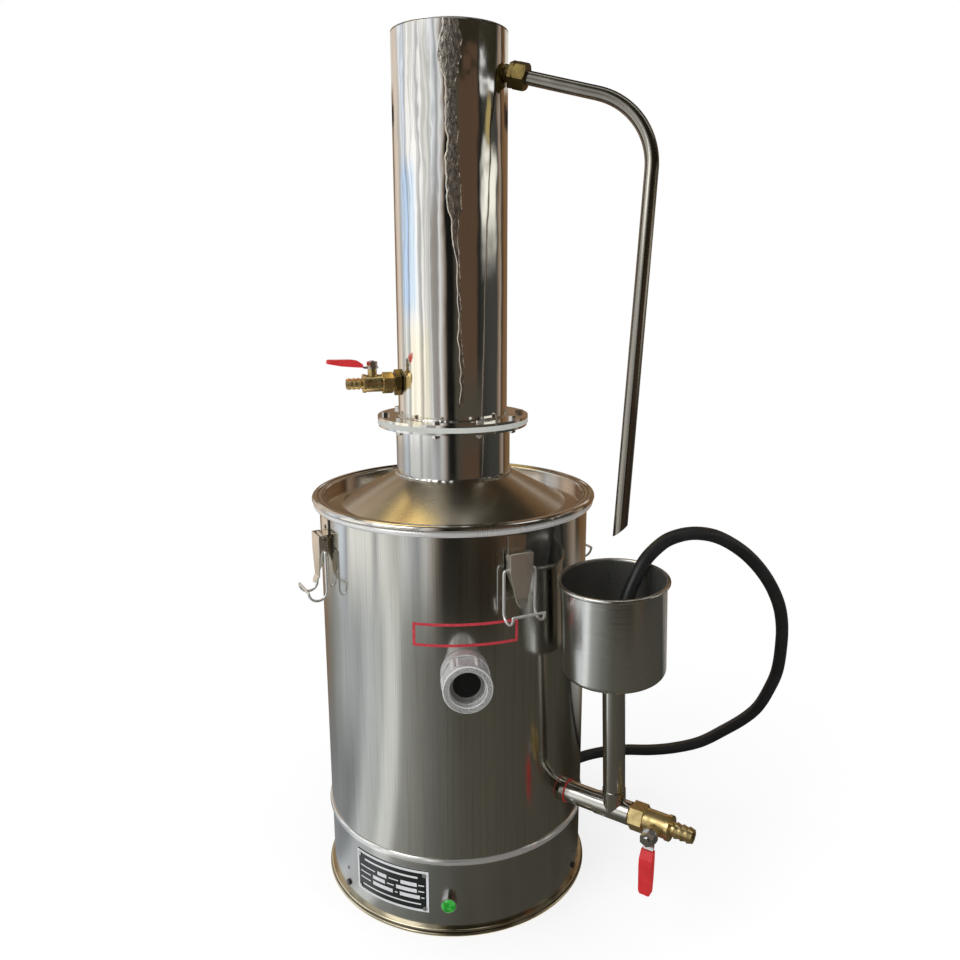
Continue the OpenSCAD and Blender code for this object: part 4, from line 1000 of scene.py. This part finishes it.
def ground_paint(m):
    """Near ramp, then the wall's ramp far out, a dark doorway in front and dark sides by the foot."""
    az, rho = m.azimuth(), m.rho()
    close = m.fall(rho, 0.30, 0.60)
    right = m.times(close, m.span(az, math.radians(82), math.radians(96)))
    left = m.times(close, m.fall(az, math.radians(-88), math.radians(-70)))
    door = m.times(m.facing(13, 18, 30), m.span(rho, 0.70, 1.0), m.fall(rho, 1.5, 1.9))
    sill = m.times(m.span(rho, 1.5, 1.9), m.fall(az, math.radians(-20), math.radians(-8)))
    return m.layered(
        round_ramp(m, GROUND),
        (right, (0.035, 0.030, 0.020)),
        (m.times(left, 0.7), (0.22, 0.23, 0.24)),
        (m.span(rho, 0.75, 1.45), round_ramp(m, WALL)),
        (m.times(door, 0.9), (0.024, 0.021, 0.015)),
        (m.times(sill, 0.55), (0.30, 0.31, 0.30)))


def ceiling_paint(m):
    """Dark ceiling, paler on the left, with a white strip of light and a gold lamp."""
    _, x, y, _ = m.at()
    lamp_x, lamp_y, reach_x, reach_y = -0.74, 1.0, 0.72, 1.0
    across = m.calc("DIVIDE", m.minus(x, lamp_x), reach_x)
    along = m.calc("DIVIDE", m.minus(y, lamp_y), reach_y)
    spot = m.plus(m.times(across, across), m.times(along, along))
    return m.layered(
        (0.20, 0.19, 0.165),
        (m.span(x, -1.6, 0.3), (0.030, 0.026, 0.018)),
        (m.near(y, -0.15, 0.26, 0.34), (1.0, 1.0, 0.97)),
        (m.fall(spot, 0.05, 1.0), (2.0, 1.5, 0.62)))


def card(name, verts, faces, paint):
    """Reflected surroundings: light only what shines, and no camera sees them."""
    m = Mat(name)
    m.tree.nodes.remove(m.shader)
    glow = m.add("ShaderNodeEmission")
    m.link(paint(m), glow.inputs["Color"])
    m.link(glow.outputs[0], m.out.inputs[0])
    m.material.cycles.emission_sampling = "NONE"
    obj = stage_mesh(name, verts, faces, m.material)
    obj.visible_camera = False
    obj.visible_diffuse = False
    obj.visible_shadow = False
    obj.visible_volume_scatter = False
    return obj


def cards():
    """Wall, ground and ceiling of the room that the metal shows."""
    n = ROOM_SIDES
    turns = [360 * i / n for i in range(n)]
    between = [(2 * i, 2 * i + 1, (2 * i + 3) % (2 * n), (2 * i + 2) % (2 * n)) for i in range(n)]
    wall = [around(az, ROOM_R, z) for az in turns for z in (0.0, ROOM_TOP)]
    ground = [around(az, rho, GROUND_Z) for az in turns for rho in (GROUND_HOLE_R, ROOM_R)]
    ceiling = [around(az, ROOM_R, ROOM_TOP) for az in turns]
    card("wall_card", wall, between, wall_paint)
    card("ground_card", ground, between, ground_paint)
    card("ceiling_card", ceiling, [tuple(range(n))], ceiling_paint)


def world():
    """Soft even light, and a white background for the rays that see it."""
    studio = bpy.data.worlds.new("studio")
    scene.world = studio
    studio.use_nodes = True
    tree = studio.node_tree
    tree.nodes.clear()
    out = tree.nodes.new("ShaderNodeOutputWorld")
    light = tree.nodes.new("ShaderNodeBackground")
    light.inputs["Color"].default_value = (0.97, 0.98, 1.0, 1)
    light.inputs["Strength"].default_value = 0.62
    white = tree.nodes.new("ShaderNodeBackground")
    white.inputs["Color"].default_value = (1, 1, 1, 1)
    mix = tree.nodes.new("ShaderNodeMixShader")
    tree.links.new(shown(tree), mix.inputs[0])
    tree.links.new(light.outputs[0], mix.inputs[1])
    tree.links.new(white.outputs[0], mix.inputs[2])
    tree.links.new(mix.outputs[0], out.inputs[0])


def lamp(name, place, aim, size, power, colour):
    data = bpy.data.lights.new(name, "AREA")
    data.shape = "RECTANGLE"
    data.size, data.size_y = size
    data.energy = power
    data.color = colour
    obj = bpy.data.objects.new(name, data)
    scene.collection.objects.link(obj)
    obj.location = place
    obj.rotation_mode = "QUATERNION"
    obj.rotation_quaternion = (Vector(aim) - Vector(place)).to_track_quat("-Z", "Y")
    return obj


floor()
cards()
world()
MIDDLE = (0, 0, 0.35)
lamp("key", (-1.5, -1.3, 2.1), MIDDLE, size=(1.3, 1.3), power=14, colour=(0.98, 0.99, 1.0))
fill = lamp("fill", (1.6, -0.9, 1.6), MIDDLE, size=(0.9, 1.2), power=5, colour=(1.0, 0.96, 0.90))
fill.visible_glossy = False
